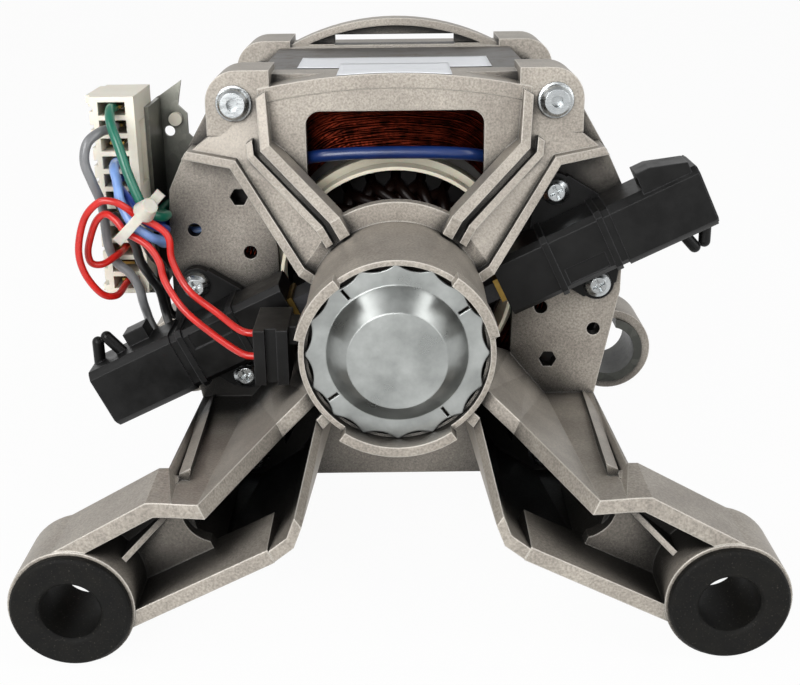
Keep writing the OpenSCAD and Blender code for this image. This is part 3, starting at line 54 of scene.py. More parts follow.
def linear(hex_colour):
    """An sRGB hex colour as linear RGBA: v / 12.92 in the dark toe, else ((v + 0.055) / 1.055) to the
    power 2.4."""
    v = np.array([int(hex_colour[i:i + 2], 16) for i in (1, 3, 5)]) / 255
    return (*np.where(v <= 0.04045, v / 12.92, ((v + 0.055) / 1.055) ** 2.4), 1.0)


def feed(node, inputs):
    """Gives each input of a node its value, or a link where the value is a socket of another node."""
    for socket, value in inputs.items():
        if isinstance(value, bpy.types.NodeSocket):
            node.id_data.links.new(value, node.inputs[socket])
        else:
            node.inputs[socket].default_value = value
    return node


def add(tree, kind, inputs=None, **settings):
    """Adds a shader node with its settings, and feeds its inputs."""
    node = tree.nodes.new("ShaderNode" + kind)
    for name, value in settings.items():
        setattr(node, name, value)
    return feed(node, inputs or {})


def new_finish(name, **constants):
    """A material whose shader has these constant values; gives the material, its tree, its shader and the
    place on the piece in Object coordinates."""
    made = bpy.data.materials.new(name)
    made.use_nodes = True
    tree = made.node_tree
    shader = tree.nodes["Principled BSDF"]
    feed(shader, {key.replace("_", " "): value for key, value in constants.items()})
    return made, tree, shader, add(tree, "TexCoord").outputs["Object"]


def edge_wear_and_highlight(tree, radius, bare_cosine, full_cosine, most=1.0):
    """The normal rounded over an edge radius in mm, and a lighter edge there, rubbed wear with a painted
    highlight: 0 where the cosine between the rounded and the flat normal is the bare one, growing evenly to
    the most at the full one."""
    rounded = add(tree, "Bevel", {"Radius": radius * MM}, samples=6).outputs["Normal"]
    flat = add(tree, "NewGeometry").outputs["Normal"]
    cosine = add(tree, "VectorMath", {0: rounded, 1: flat}, operation="DOT_PRODUCT").outputs["Value"]
    wear_and_highlight = add(tree, "MapRange", {"Value": cosine, "From Min": bare_cosine, "From Max": full_cosine, "To Max": most})
    return rounded, wear_and_highlight.outputs[0]


def with_painted_shade(tree, colour, reach, shut, clear, darkest, samples=8):
    """A colour darkened by painted shade in its hollows: the open share of the space within a reach in mm,
    which runs from shut to clear, becomes a factor from the darkest to 1."""
    space = add(tree, "AmbientOcclusion", {"Distance": reach * MM}, samples=samples).outputs["AO"]
    shade_factor = add(tree, "MapRange", {"Value": space, "From Min": shut, "From Max": clear, "To Min": darkest})
    return add(tree, "Mix", {FAC: 1.0, LOW: colour, HIGH: shade_factor.outputs[0]},
               data_type="RGBA", blend_type="MULTIPLY").outputs[MIXED]


def dress(finish, *names):
    """Gives the finish to CAD nodes."""
    for name in names:
        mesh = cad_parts[name].data
        mesh.materials.clear()
        mesh.materials.append(finish)


cast_aluminium, tree, shader, place = new_finish("cast_aluminium", Metallic=0.4)
flow = add(tree, "TexNoise", {"Vector": place, "Scale": 1 / (16 * MM), "Detail": 3}).outputs["Fac"]
grain = add(tree, "TexNoise", {"Vector": place, "Scale": 1 / (0.6 * MM), "Roughness": 0.6}).outputs["Fac"]
pits = add(tree, "TexVoronoi", {"Vector": place, "Scale": 1 / (2.2 * MM)}).outputs["Distance"]
rounded, wear_and_highlight = edge_wear_and_highlight(tree, radius=0.6, bare_cosine=0.985, full_cosine=0.86)
clouds = add(tree, "MapRange", {"Value": flow, "From Min": 0.34, "From Max": 0.66}).outputs[0]
skin = add(tree, "Mix", {FAC: clouds, LOW: linear("#968f86"), HIGH: linear("#aba49a")},
           data_type="RGBA").outputs[MIXED]
speckle = add(tree, "MapRange", {"Value": grain, "From Min": 0.3, "From Max": 0.7,
                                 "To Min": 0.68, "To Max": 1.24}).outputs[0]
skin = add(tree, "Mix", {FAC: 1.0, LOW: skin, HIGH: speckle},
           data_type="RGBA", blend_type="MULTIPLY").outputs[MIXED]
# painted highlight with rubbed wear: the edges are mixed towards a pale grey
skin = add(tree, "Mix", {FAC: wear_and_highlight, LOW: skin, HIGH: linear("#d6d1c8")}, data_type="RGBA").outputs[MIXED]
# painted shade: the colour is darkened in the hollows, down to 4 % deep in the channels
skin = with_painted_shade(tree, skin, reach=34, shut=0.37, clear=0.56, darkest=0.04, samples=12)
dull = add(tree, "MapRange", {"Value": grain, "From Min": 0.3, "From Max": 0.7,
                              "To Min": 0.4, "To Max": 0.58}).outputs[0]
relief = rounded
for height, strength, depth in ((grain, 0.4, 0.14), (flow, 0.3, 0.5), (pits, 0.12, 0.2)):
    relief = add(tree, "Bump", {"Height": height, "Normal": relief, "Strength": strength,
                                "Distance": depth * MM}).outputs[0]
feed(shader, {"Base Color": skin, "Roughness": dull, "Normal": relief})
dress(cast_aluminium, "rear_end_shield", "front_end_shield")

# Stator stack and armature core: punched sheets of silicon steel, 0.65 mm thick, pressed together. The
# stack is left bare between the shields, with fine lines and faint brown rust; the armature core's colours
# are painted near black as shade deep inside the housing.
line_pitch = 1.3  # two sheets to a line, since single sheets are too fine to show
wave_pitch = 0.314  # length after which a Wave texture of scale 1 repeats

# painted shade: the armature core's finish has near black colours for the shade deep in the housing
for name, low, high, stain, core in (
        ("bare_laminations", "#4a4846", "#7d7b78", "#5b4636", "stator_core"),
        ("shaded_armature_laminations", "#070606", "#14100e", "#1a0c07", "armature_core")):
    sheets, tree, shader, place = new_finish(name, Metallic=0.6)
    lines = add(tree, "TexWave", {"Vector": place, "Scale": wave_pitch / (line_pitch * MM),
                                  "Distortion": 0.4, "Detail": 2},
                wave_type="BANDS", bands_direction="Y").outputs["Fac"]
    rust = add(tree, "TexNoise", {"Vector": place, "Scale": 1 / (6 * MM), "Detail": 6,
                                  "Roughness": 0.65}).outputs["Fac"]
    steel = add(tree, "Mix", {FAC: lines, LOW: linear(low), HIGH: linear(high)},
                data_type="RGBA").outputs[MIXED]
    spots = add(tree, "MapRange", {"Value": rust, "From Min": 0.54, "From Max": 0.7,
                                   "To Max": 0.6}).outputs[0]
    steel = add(tree, "Mix", {FAC: spots, LOW: steel, HIGH: linear(stain)}, data_type="RGBA").outputs[MIXED]
    dull = add(tree, "MapRange", {"Value": rust, "To Min": 0.38, "To Max": 0.62}).outputs[0]
    ridges = add(tree, "Bump", {"Height": lines, "Strength": 0.5, "Distance": 0.15 * MM}).outputs[0]
    feed(shader, {"Base Color": steel, "Roughness": dull, "Normal": ridges})
    dress(sheets, core)

# Field coils: enamelled copper wire wound into a flat loop, bent round each pole and dipped in varnish.
# Each coil is a bundle whose skin is rows of wire, glossy red, with the last wire wound over it; its
# colours are darkened nearly to black as painted shade inside the window.
SHAFT = np.array([0.0, -82.5, 64.8])  # where station 0 of the shaft axis lies in the frame, in mm


def mottled_finish(name, grain, detail, colours, dull, uneven=0.5, spread=(0, 1), stretch=None,
                   **constants):
    """A material in two tones: noise with grains of a width in mm, drawn out by a stretch where there is
    one, runs from the first colour to the second over a spread of its values, and over a span of
    roughness."""
    made, tree, shader, place = new_finish(name, **constants)
    if stretch:
        place = add(tree, "Mapping", {"Vector": place, "Scale": stretch}).outputs[0]
    noise = add(tree, "TexNoise", {"Vector": place, "Scale": 1 / (grain * MM), "Detail": detail,
                                   "Roughness": uneven}).outputs["Fac"]
    share = add(tree, "MapRange", {"Value": noise, "From Min": spread[0], "From Max": spread[1]}).outputs[0]
    tone = add(tree, "Mix", {FAC: share, LOW: linear(colours[0]), HIGH: linear(colours[1])},
               data_type="RGBA")
    roughness = add(tree, "MapRange", {"Value": noise, "To Min": dull[0], "To Max": dull[1]})
    feed(shader, {"Base Color": tone.outputs[MIXED], "Roughness": roughness.outputs[0]})
    return made


def motor(points):
    """Points in mm from the shaft axis and the hub rim, as metres in the shared frame."""
    return (np.asarray(points, float) + SHAFT) * MM


def add_piece(name, points, faces, finish, body):
    """A smooth mesh piece at the origin from corners and faces, riding on a body."""
    mesh = bpy.data.meshes.new(name)
    mesh.from_pydata(points.tolist(), [], faces)
    mesh.polygons.foreach_set("use_smooth", np.full(len(mesh.polygons), True))
    mesh.materials.append(finish)
    piece = bpy.data.objects.new(name, mesh)
    bpy.context.scene.collection.objects.link(piece)
    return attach(piece, body)


def eased(part):
    """A smooth step: t squared times (3 - 2 t), with t held between 0 and 1."""
    t = np.clip(part, 0, 1)
    return t ** 2 * (3 - 2 * t)


def spline(points, steps):
    """A smooth curve through points: each span is the cubic whose slope at a point is half the step
    between its neighbours, so the curve passes through every point without a corner."""
    p = np.asarray(points, float)
    a, b, c, d = np.vstack([p[:1], p[:-2]]), p[:-1], p[1:], np.vstack([p[2:], p[-1:]])
    t = (np.arange(steps) / steps)[None, :, None]
    a, b, c, d = (q[:, None, :] for q in (a, b, c, d))
    square, cube = 2 * a - 5 * b + 4 * c - d, 3 * b - a - 3 * c + d
    rows = 0.5 * (2 * b + (c - a) * t + square * t ** 2 + cube * t ** 3)
    return np.vstack([rows.reshape(-1, 3), p[-1:]])


def carried(path):
    """Two unit vectors across a path at each point: the first is the last one with its part along the
    path taken out, so it turns no more than the path does. It starts upright, or sideways on a steep
    path."""
    steep = 0.8
    step = np.gradient(path, axis=0)
    along = step / np.linalg.norm(step, axis=1, keepdims=True)
    up = np.array([0.0, 0.0, 1.0]) if abs(along[0, 2]) < steep else np.array([1.0, 0.0, 0.0])
    across = np.zeros_like(path)
    for i, way in enumerate(along):
        up = up - way * (up @ way)
        up = up / np.linalg.norm(up)
        across[i] = up
    return across, np.cross(along, across)


def grid_faces(rings, sides, closed=False):
    """Quads between neighbouring rings of a swept skin, round every side; a closed skin joins the last
    ring to the first."""
    i, j = np.meshgrid(np.arange(rings if closed else rings - 1), np.arange(sides), indexing="ij")
    k, i2 = (j + 1) % sides, (i + 1) % rings
    quads = np.stack([i * sides + j, i * sides + k, i2 * sides + k, i2 * sides + j], -1)
    return quads.reshape(-1, 4).tolist()


def tube(path, radius, sides):
    """A round skin along a path: at angle a, a ring's point is path + radius (across cos a + over sin a).
    The ends are closed by a middle point. Gives corners and faces."""
    across, over = carried(path)
    a = np.linspace(0, 2 * np.pi, sides, endpoint=False)[None, :, None]
    size = np.broadcast_to(np.asarray(radius, float), (len(path),))[:, None, None]
    rings = path[:, None, :] + size * (across[:, None, :] * np.cos(a) + over[:, None, :] * np.sin(a))
    corners = np.vstack([rings.reshape(-1, 3), path[:1], path[-1:]])
    j = np.arange(sides)
    k, first, last = (j + 1) % sides, len(path) * sides, (len(path) - 1) * sides
    start = np.stack([np.full(sides, first), k, j], -1)
    end = np.stack([np.full(sides, first + 1), last + j, last + k], -1)
    return corners, grid_faces(len(path), sides) + start.tolist() + end.tolist()


def joined(parts):
    """Several meshes as one: the faces of each count on from the corners before it."""
    corners, faces, base = [], [], 0
    for points, shape in parts:
        corners.append(points)
        faces += [[base + i for i in face] for face in shape]
        base += len(points)
    return np.vstack(corners), faces


coil_in_r, coil_out_r, coil_rear_y, coil_front_y = 37.0, 47.0, 68.5, 139.5  # radii and end faces
coil_slot = 26.0  # degrees up from level, where a leg runs through its slot
swell_span, swell_in, swell_out = 38.0, 3.0, 10.0  # degrees that a coil takes to swell, and how far it does
level_in, level_out = 38.0, 54.0  # heights over the shaft that its faces keep under
arc_rings, leg_rings, section_points, rows_across = 72, 10, 480, 20
bundle_inset, arc_half, leg_half = 4.0, 3.3, 5.5  # middle of the bundle from its end face, half depths
leg_blend = 0.4  # power of the sine by which a leg deepens
wire_r, wire_bump = 0.5, 0.42  # a wire, and how far it stands out of the bundle
slack, slack_waves, slack_rows = 0.12, 9, 5  # height of the slow waves, and their counts both ways
drift_by, drift_rate, drift_lag = 9.0, 2.6, 0.9  # slant of the rows: its reach, pace and start, in radians
wire_turns, wire_stops, wire_steps, wire_sides = 7, 10, 5, 8
wire_from, wire_leg = 10.0, 7.2  # degrees up from level of an arc's ends and of the legs
wire_bend = 3.5  # from the end face to where a leg starts
gap_in, gap_out = 0.2, 0.4  # from the first and last turn to the coil's faces


def coil_reach(angle):
    """Inner and outer radius of a coil at an angle in degrees: those of the slot at both ends, swelling
    in a smooth step towards the pole, where straight wires cross it, so r sin(angle) stays under a
    level."""
    swell = eased((np.minimum(angle, 180 - angle) - coil_slot) / swell_span)
    rise = np.sin(np.radians(angle))
    inner = np.minimum(coil_in_r + swell_in * swell, level_in / rise)
    return inner, np.minimum(coil_out_r + swell_out * swell, level_out / rise)


def coil_skin(turn):
    """The bundle: a closed loop that runs over the pole at the rear, through a slot, over the front and
    back. Its section is a rectangle whose edges are rows of round wires, so half size + bump |sin|, and
    the rows drift along the loop by a slow sine, so some wires cross at a slant."""
    arc = np.linspace(coil_slot, 180 - coil_slot, arc_rings)
    leg = np.linspace(0, 1, leg_rings + 2)[1:-1]
    rear, front = coil_rear_y + bundle_inset, coil_front_y - bundle_inset
    degrees = np.concatenate([arc, np.full(leg_rings, arc[-1]), arc[::-1], np.full(leg_rings, arc[0])])
    y = np.concatenate([np.full(arc_rings, rear), rear + (front - rear) * leg,
                        np.full(arc_rings, front), front + (rear - front) * leg])
    on_leg = np.sin(np.pi * leg) ** leg_blend
    on_leg = np.concatenate([np.zeros(arc_rings), on_leg, np.zeros(arc_rings), on_leg])
    angle = np.radians(degrees)
    inner, outer = coil_reach(degrees)
    radial = np.stack([np.cos(angle), np.zeros_like(angle), np.sin(angle)], -1)
    path = radial * (0.5 * (inner + outer))[:, None]
    path[:, 1] = y
    u = np.linspace(0, 4, section_points, endpoint=False)
    edge, on_edge, one = u.astype(int), (u % 1) * 2 - 1, np.ones_like(u)
    square = np.stack([np.choose(edge, [on_edge, one, -on_edge, -one]),
                       np.choose(edge, [-one, on_edge, one, -on_edge])], -1)
    drift = drift_by * np.sin(drift_rate * (angle - np.pi / 2) - drift_lag)
    bump = np.abs(np.sin(np.pi * rows_across / 2 * (on_edge + 1)[None, :] + drift[:, None]))
    wave = slack * np.sin(slack_waves * angle)[:, None] * np.sin(slack_rows * np.pi * u)[None, :]
    half_r, half_y = 0.5 * (outer - inner) - wire_r, arc_half + (leg_half - arc_half) * on_leg
    size_r = (half_r[:, None] + wire_bump * bump + wave) * square[None, :, 0]
    size_y = (half_y[:, None] + wire_bump * bump + wave) * square[None, :, 1]
    out = np.cross(np.roll(path, -1, 0) - np.roll(path, 1, 0), radial)
    out /= np.linalg.norm(out, axis=1, keepdims=True)
    rings = path[:, None, :] + size_r[..., None] * radial[:, None, :] + size_y[..., None] * out[:, None, :]
    return rings.reshape(-1, 3) * np.array([turn, 1, turn]), grid_faces(len(path), len(u), closed=True)


def coil_wire(turn):
    """The last wire: turns that climb outwards by one wire each, over the rear arc, along a slot edge,
    over the front arc and back along the other edge."""
    arc = wire_from + np.linspace(0, 1, wire_stops) * (180 - 2 * wire_from)
    angle = np.concatenate([arc, [180 - wire_leg] * 2, arc[::-1], [wire_leg] * 2])
    rear, front = coil_rear_y + wire_bend, coil_front_y - wire_bend
    y = np.concatenate([np.full(wire_stops, coil_rear_y + wire_r), [rear, front],
                        np.full(wire_stops, coil_front_y - wire_r), [front, rear]])
    climb = np.linspace(0, 1, wire_turns * len(angle), endpoint=False)
    inner, outer = coil_reach(np.tile(angle, wire_turns))
    r = inner + wire_r + gap_in + (outer - inner - 2 * wire_r - gap_in - gap_out) * climb
    a = np.radians(np.tile(angle, wire_turns))
    return np.stack([r * np.cos(a), np.tile(y, wire_turns), r * np.sin(a)], -1) * np.array([turn, 1, turn])


# painted shade: the copper tones are darkened nearly to black for the enclosed window
enamelled_copper = mottled_finish("enamelled_copper", grain=3, detail=4, colours=("#160503", "#4a180d"),
                                  dull=(0.22, 0.45), uneven=0.6, spread=(0.35, 0.65), Metallic=1.0)
for side, turn in (("upper", 1), ("lower", -1)):
    last_wire = tube(spline(coil_wire(turn), wire_steps), wire_r, wire_sides)
    points, faces = joined([coil_skin(turn), last_wire])
    coil = add_piece(f"wound_coil_{side}", motor(points), faces, enamelled_copper, "housing")
    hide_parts(f"field_coil_{side}", f"field_winding_{side}")

# Coil frames and the terminal block: ivory glass-filled nylon. The rings hold the end turns clear of the
# armature and have gone yellow with heat; the block is paler. The moulded skin is a little waxy, with a
# faint cloud of glass.
for name, low, high, darkest_shade, nodes in (
        ("ivory_nylon", "#d8d0b8", "#eee8d6", 0.3, ("coil_frame_rear", "coil_frame_front")),
        ("pale_ivory_nylon", "#e2dbc8", "#f4efe2", 0.7, ("terminal_block",))):
    ivory, tree, shader, place = new_finish(name, Subsurface_Weight=0.12, Subsurface_Scale=0.6 * MM,
                                            IOR=1.53)
    cloud = add(tree, "TexNoise", {"Vector": place, "Scale": 1 / (8 * MM), "Detail": 4,
                                   "Roughness": 0.6}).outputs["Fac"]
    fibre = add(tree, "TexNoise", {"Vector": place, "Scale": 1 / (0.6 * MM)}).outputs["Fac"]
    rounded = add(tree, "Bevel", {"Radius": 0.35 * MM}, samples=4).outputs["Normal"]
    waxy = add(tree, "Mix", {FAC: cloud, LOW: linear(low), HIGH: linear(high)},
               data_type="RGBA").outputs[MIXED]
    # painted shade: the colour is darkened in recesses such as the block's cells
    waxy = with_painted_shade(tree, waxy, reach=6, shut=0.1, clear=0.8, darkest=darkest_shade)
    dull = add(tree, "MapRange", {"Value": fibre, "To Min": 0.36, "To Max": 0.52}).outputs[0]
    moulded = add(tree, "Bump", {"Height": fibre, "Normal": rounded, "Strength": 0.1,
                                 "Distance": 0.1 * MM}).outputs[0]
    feed(shader, {"Base Color": waxy, "Roughness": dull, "Normal": moulded})
    dress(ivory, *nodes)

# Stator bolts, holder screws and rivets: cold-headed steel with bright zinc plating, thin blue
# passivation, and small scuffs from the driver.
zinc_plate, tree, shader, place = new_finish("zinc_plate", Metallic=1.0)
haze = add(tree, "TexNoise", {"Vector": place, "Scale": 1 / (2.4 * MM), "Detail": 5,
                              "Roughness": 0.6}).outputs["Fac"]
level_marks = add(tree, "Mapping", {"Vector": place, "Scale": (1, 1, 6)}).outputs[0]
scuff = add(tree, "TexNoise", {"Vector": level_marks, "Scale": 1 / (3 * MM), "Detail": 3}).outputs["Fac"]
rounded = add(tree, "Bevel", {"Radius": 0.3 * MM}, samples=4).outputs["Normal"]
plate = add(tree, "Mix", {FAC: haze, LOW: linear("#9da2a5"), HIGH: linear("#d3d6d6")},
            data_type="RGBA").outputs[MIXED]
dull = add(tree, "MapRange", {"Value": scuff, "From Min": 0.3, "From Max": 0.7,
                              "To Min": 0.16, "To Max": 0.4}).outputs[0]
relief = add(tree, "Bump", {"Height": haze, "Normal": rounded, "Strength": 0.1,
                            "Distance": 0.1 * MM}).outputs[0]
feed(shader, {"Base Color": plate, "Roughness": dull, "Normal": relief})
dress(zinc_plate, "stator_bolts", "brush_holder_screws", "bracket_rivets")

# Shaft, pulley, bearing rings and ball cages: ground bearing steel. The pulley and the inner rings are
# pressed on the shaft, the outer rings into the shields. Turning lines run round the axis, so the grey
# comes in fine bands.
round_axis = (0.1, 1, 0.1)  # draws grains out ten times across the shaft, into lines round it
ground_steel = mottled_finish("ground_steel", grain=0.7, detail=3, colours=("#8d8f92", "#c7c9cb"),
                              dull=(0.18, 0.34), stretch=round_axis, Metallic=1.0)
dress(ground_steel, "shaft", "rear_bearing_outer", "front_bearing_outer", "rear_bearing_inner",
      "front_bearing_inner", "rear_ball_cage", "front_ball_cage", "drive_pulley")

# Armature winding: wire bundles that leave a slot, bend round the shaft and go down the slot eleven
# places on. Each lies over the one before, all are soaked in resin, and their colours are painted near
# black as shade inside the housing.
slots, places_on = 24, 11
slot_pitch = 360 / slots
end_turns = ((75.6, 66.4), (132.4, 139.4))  # stations where the bundles leave the core and where they end
bundle_top_r, bundle_dip, bundle_r, bundle_thins, bundle_rings = 27.2, 13.2, 1.9, 0.5, 25
dip_power, reach_power = 0.7, 0.5  # powers of the sine by which a bundle dips to the shaft and reaches out
slot_rear_y, slot_front_y, slot_rings = 75.4, 132.6, 3
slot_rows, slot_wire_r, winding_sides = (22.6, 25.0, 27.4), 1.22, 8

# painted shade: the winding's colours are near black for the shade inside the housing
armature_wire = mottled_finish("shaded_resin_winding", grain=2.5, detail=4, colours=("#060302", "#180804"),
                               dull=(0.3, 0.5), Metallic=0.2, Specular_IOR_Level=0.25)
t = np.linspace(0, 1, bundle_rings)
dip = np.sin(np.pi * t)
r = bundle_top_r - bundle_dip * dip ** dip_power
parts = []
for near, far in end_turns:
    for k in range(slots):
        a = np.radians(slot_pitch * k + slot_pitch * places_on * t)
        y = near + (far - near) * (k + 1) / slots * dip ** reach_power
        path = np.stack([r * np.cos(a), y, -r * np.sin(a)], -1)
        parts.append(tube(path, bundle_r - bundle_thins * dip, winding_sides))
y = np.linspace(slot_rear_y, slot_front_y, slot_rings)
for k in range(slots):
    a = np.full_like(y, math.radians(slot_pitch * k))
    for row_r in slot_rows:
        path = np.stack([row_r * np.cos(a), y, -row_r * np.sin(a)], -1)
        parts.append(tube(path, slot_wire_r, winding_sides))
points, faces = joined(parts)
winding = add_piece("wound_armature", motor(points), faces, armature_wire, "rotor")
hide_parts("armature_winding")

# Commutator bars: hard copper, turned true after moulding on a dark phenolic hub, with a brown film where
# the brushes ride.
commutator_copper = mottled_finish("turned_copper", grain=0.6, detail=2, colours=("#7b4a30", "#bd7c55"),
                                   dull=(0.22, 0.4), stretch=round_axis, Metallic=1.0)
dress(commutator_copper, "commutator_bars")

# Commutator hub, tacho coil and cooling fan: phenolic resin, moulded in one piece each. It is a dark
# brown with fine grit from its filler.
phenolic, tree, shader, place = new_finish("phenolic_resin", Roughness=0.45)
filler = add(tree, "TexNoise", {"Vector": place, "Scale": 1 / (1.2 * MM), "Detail": 4}).outputs["Fac"]
resin = add(tree, "Mix", {FAC: filler, LOW: linear("#1c1612"), HIGH: linear("#33281f")},
            data_type="RGBA").outputs[MIXED]
relief = add(tree, "Bump", {"Height": filler, "Strength": 0.15, "Distance": 0.1 * MM}).outputs[0]
feed(shader, {"Base Color": resin, "Normal": relief})
dress(phenolic, "commutator_hub", "tacho_coil", "cooling_fan")

# Tacho magnet: sintered ferrite, pressed on the shaft stub and ground, so it is a dull charcoal grey with
# a fine grit.
ferrite = mottled_finish("sintered_ferrite", grain=0.8, detail=5, colours=("#2b2b2d", "#48484a"),
                         dull=(0.45, 0.7), Metallic=0.2)
dress(ferrite, "tacho_magnet")

# Brush holders and the tacho plug: black glass-filled polyester, moulded with a fine spark-eroded
# texture. The edges and the ribs have a grey painted highlight, and a faint dust lies on the faces.
black_polyester, tree, shader, place = new_finish("black_polyester", IOR=1.55, Specular_IOR_Level=0.2)
spark = add(tree, "TexNoise", {"Vector": place, "Scale": 1 / (0.45 * MM), "Detail": 3,
                               "Roughness": 0.6}).outputs["Fac"]
dust = add(tree, "TexNoise", {"Vector": place, "Scale": 1 / (7 * MM), "Detail": 6,
                              "Roughness": 0.65}).outputs["Fac"]
rounded, wear_and_highlight = edge_wear_and_highlight(tree, radius=0.45, bare_cosine=0.98, full_cosine=0.84, most=0.55)
dusty = add(tree, "MapRange", {"Value": dust, "From Min": 0.4, "From Max": 0.7}).outputs[0]
black = add(tree, "Mix", {FAC: dusty, LOW: linear("#080808"), HIGH: linear("#141414")},
            data_type="RGBA").outputs[MIXED]
# painted highlight: the edges and ribs are mixed towards grey
black = add(tree, "Mix", {FAC: wear_and_highlight, LOW: black, HIGH: linear("#4a4a4c")}, data_type="RGBA").outputs[MIXED]
dull = add(tree, "MapRange", {"Value": dust, "From Min": 0.3, "From Max": 0.7,
                              "To Min": 0.3, "To Max": 0.5}).outputs[0]
relief = add(tree, "Bump", {"Height": spark, "Normal": rounded, "Strength": 0.18,
                            "Distance": 0.08 * MM}).outputs[0]
feed(shader, {"Base Color": black, "Roughness": dull, "Normal": relief})
dress(black_polyester, "brush_holder_left", "brush_holder_right", "tacho_plug")

# Brush tubes, their tabs and the terminal contacts: rolled brass, drawn or stamped to shape and pushed
# into the holders and the block. A tarnish leaves it brown and dull in places.
rolled_brass = mottled_finish("rolled_brass", grain=4, detail=5, colours=("#5e4a27", "#b0924f"),
                              dull=(0.45, 0.22), uneven=0.6, Metallic=1.0)
dress(rolled_brass, "brush_tube_left", "brush_tube_right", "brush_tab_left", "brush_tab_right",
      "terminal_contacts")

# Carbon brushes: pressed electrographite, which slides in the brass tubes. It is a soft black with a
# slight metallic shine and fine grit.
electrographite = mottled_finish("electrographite", grain=0.5, detail=4, colours=("#1d1d1f", "#3c3c3f"),
                                 dull=(0.4, 0.6), Metallic=0.3)
dress(electrographite, "brush_left", "brush_right")

# Brush springs: hard-drawn steel wire, eight curls between the brush and the end of the tube. They
# shorten towards the end as the brush is lifted off the commutator.
brush_slope = math.radians(25.5)
brush_at = np.array([0, 52.0, -10.3])  # offset of a brush axis from the shaft's, before it slopes
spring_from, spring_to, spring_mid_r, spring_r = 48.1, 74.9, 1.9, 0.3
curls, curl_points, spring_sides = 8, 24, 8


def brush_axis(points, turn):
    """Points along a brush axis, X outwards, brought to the shaft axis: a turn about Y by the slope, then
    a half turn for the left side."""
    x, y, z = (np.asarray(points, float) + brush_at).T
    c, s = math.cos(brush_slope), math.sin(brush_slope)
    return np.stack([turn * (x * c - z * s), y, turn * (x * s + z * c)], -1)


spring_wire = mottled_finish("spring_wire", grain=1, detail=3, colours=("#85888c", "#c3c6ca"),
                             dull=(0.2, 0.36), Metallic=1.0)
t = np.linspace(0, 1, curls * curl_points + 1)
a = 2 * np.pi * curls * t
run = spring_to - spring_from - 4 * spring_r
curl = np.stack([spring_from + 2 * spring_r + run * t,
                 spring_mid_r * np.cos(a), spring_mid_r * np.sin(a)], -1)
path = np.vstack([[spring_from, spring_mid_r, 0], curl, [spring_to, spring_mid_r, 0]])
for side, turn in (("left", -1), ("right", 1)):
    points, faces = tube(brush_axis(path, turn), spring_r, spring_sides)
    spring = add_piece(f"curled_spring_{side}", motor(points), faces, spring_wire, "housing")
    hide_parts(f"brush_spring_{side}")
    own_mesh(spring)

# Tacho cap: a steel cup, pressed and zinc plated, whose scalloped rim is sprung into the hub. The dome
# has soft smears of oil and fingerprints over a bright even plating.
pressed_zinc, tree, shader, place = new_finish("pressed_zinc_cap", Metallic=0.9)
smear = add(tree, "TexNoise", {"Vector": place, "Scale": 1 / (9 * MM), "Detail": 6,
                               "Roughness": 0.6}).outputs["Fac"]
satin = add(tree, "TexNoise", {"Vector": place, "Scale": 1 / (0.6 * MM)}).outputs["Fac"]
rounded = add(tree, "Bevel", {"Radius": 0.5 * MM}, samples=6).outputs["Normal"]
smeared = add(tree, "MapRange", {"Value": smear, "From Min": 0.35, "From Max": 0.65}).outputs[0]
plate = add(tree, "Mix", {FAC: smeared, LOW: linear("#959896"), HIGH: linear("#b0b3b1")},
            data_type="RGBA").outputs[MIXED]
dull = add(tree, "MapRange", {"Value": smear, "From Min": 0.3, "From Max": 0.7,
                              "To Min": 0.26, "To Max": 0.42}).outputs[0]
relief = add(tree, "Bump", {"Height": satin, "Normal": rounded, "Strength": 0.08,
                            "Distance": 0.06 * MM}).outputs[0]
feed(shader, {"Base Color": plate, "Roughness": dull, "Normal": relief})
dress(pressed_zinc, "tacho_cap")

# Foot bushes: black nitrile rubber, moulded with a flange and pressed into the rear bosses. The face is
# matt, with a faint bloom and pale specks of dust in its pores.
nitrile_rubber, tree, shader, place = new_finish("nitrile_rubber", IOR=1.52, Specular_IOR_Level=0.16)
bloom = add(tree, "TexNoise", {"Vector": place, "Scale": 1 / (5 * MM), "Detail": 6,
                               "Roughness": 0.65}).outputs["Fac"]
pore = add(tree, "TexNoise", {"Vector": place, "Scale": 1 / (0.5 * MM)}).outputs["Fac"]
rounded = add(tree, "Bevel", {"Radius": 0.6 * MM}, samples=6).outputs["Normal"]
bloomed = add(tree, "MapRange", {"Value": bloom, "From Min": 0.4, "From Max": 0.75}).outputs[0]
rubber = add(tree, "Mix", {FAC: bloomed, LOW: linear("#080807"), HIGH: linear("#151411")},
             data_type="RGBA").outputs[MIXED]
specks = add(tree, "MapRange", {"Value": pore, "From Min": 0.62, "From Max": 0.8, "To Max": 0.5}).outputs[0]
rubber = add(tree, "Mix", {FAC: specks, LOW: rubber, HIGH: linear("#5a564e")},
             data_type="RGBA").outputs[MIXED]
dull = add(tree, "MapRange", {"Value": bloom, "To Min": 0.5, "To Max": 0.75}).outputs[0]
relief = add(tree, "Bump", {"Height": pore, "Normal": rounded, "Strength": 0.16,
                            "Distance": 0.08 * MM}).outputs[0]
feed(shader, {"Base Color": rubber, "Roughness": dull, "Normal": relief})
dress(nitrile_rubber, "foot_bush_left", "foot_bush_right")

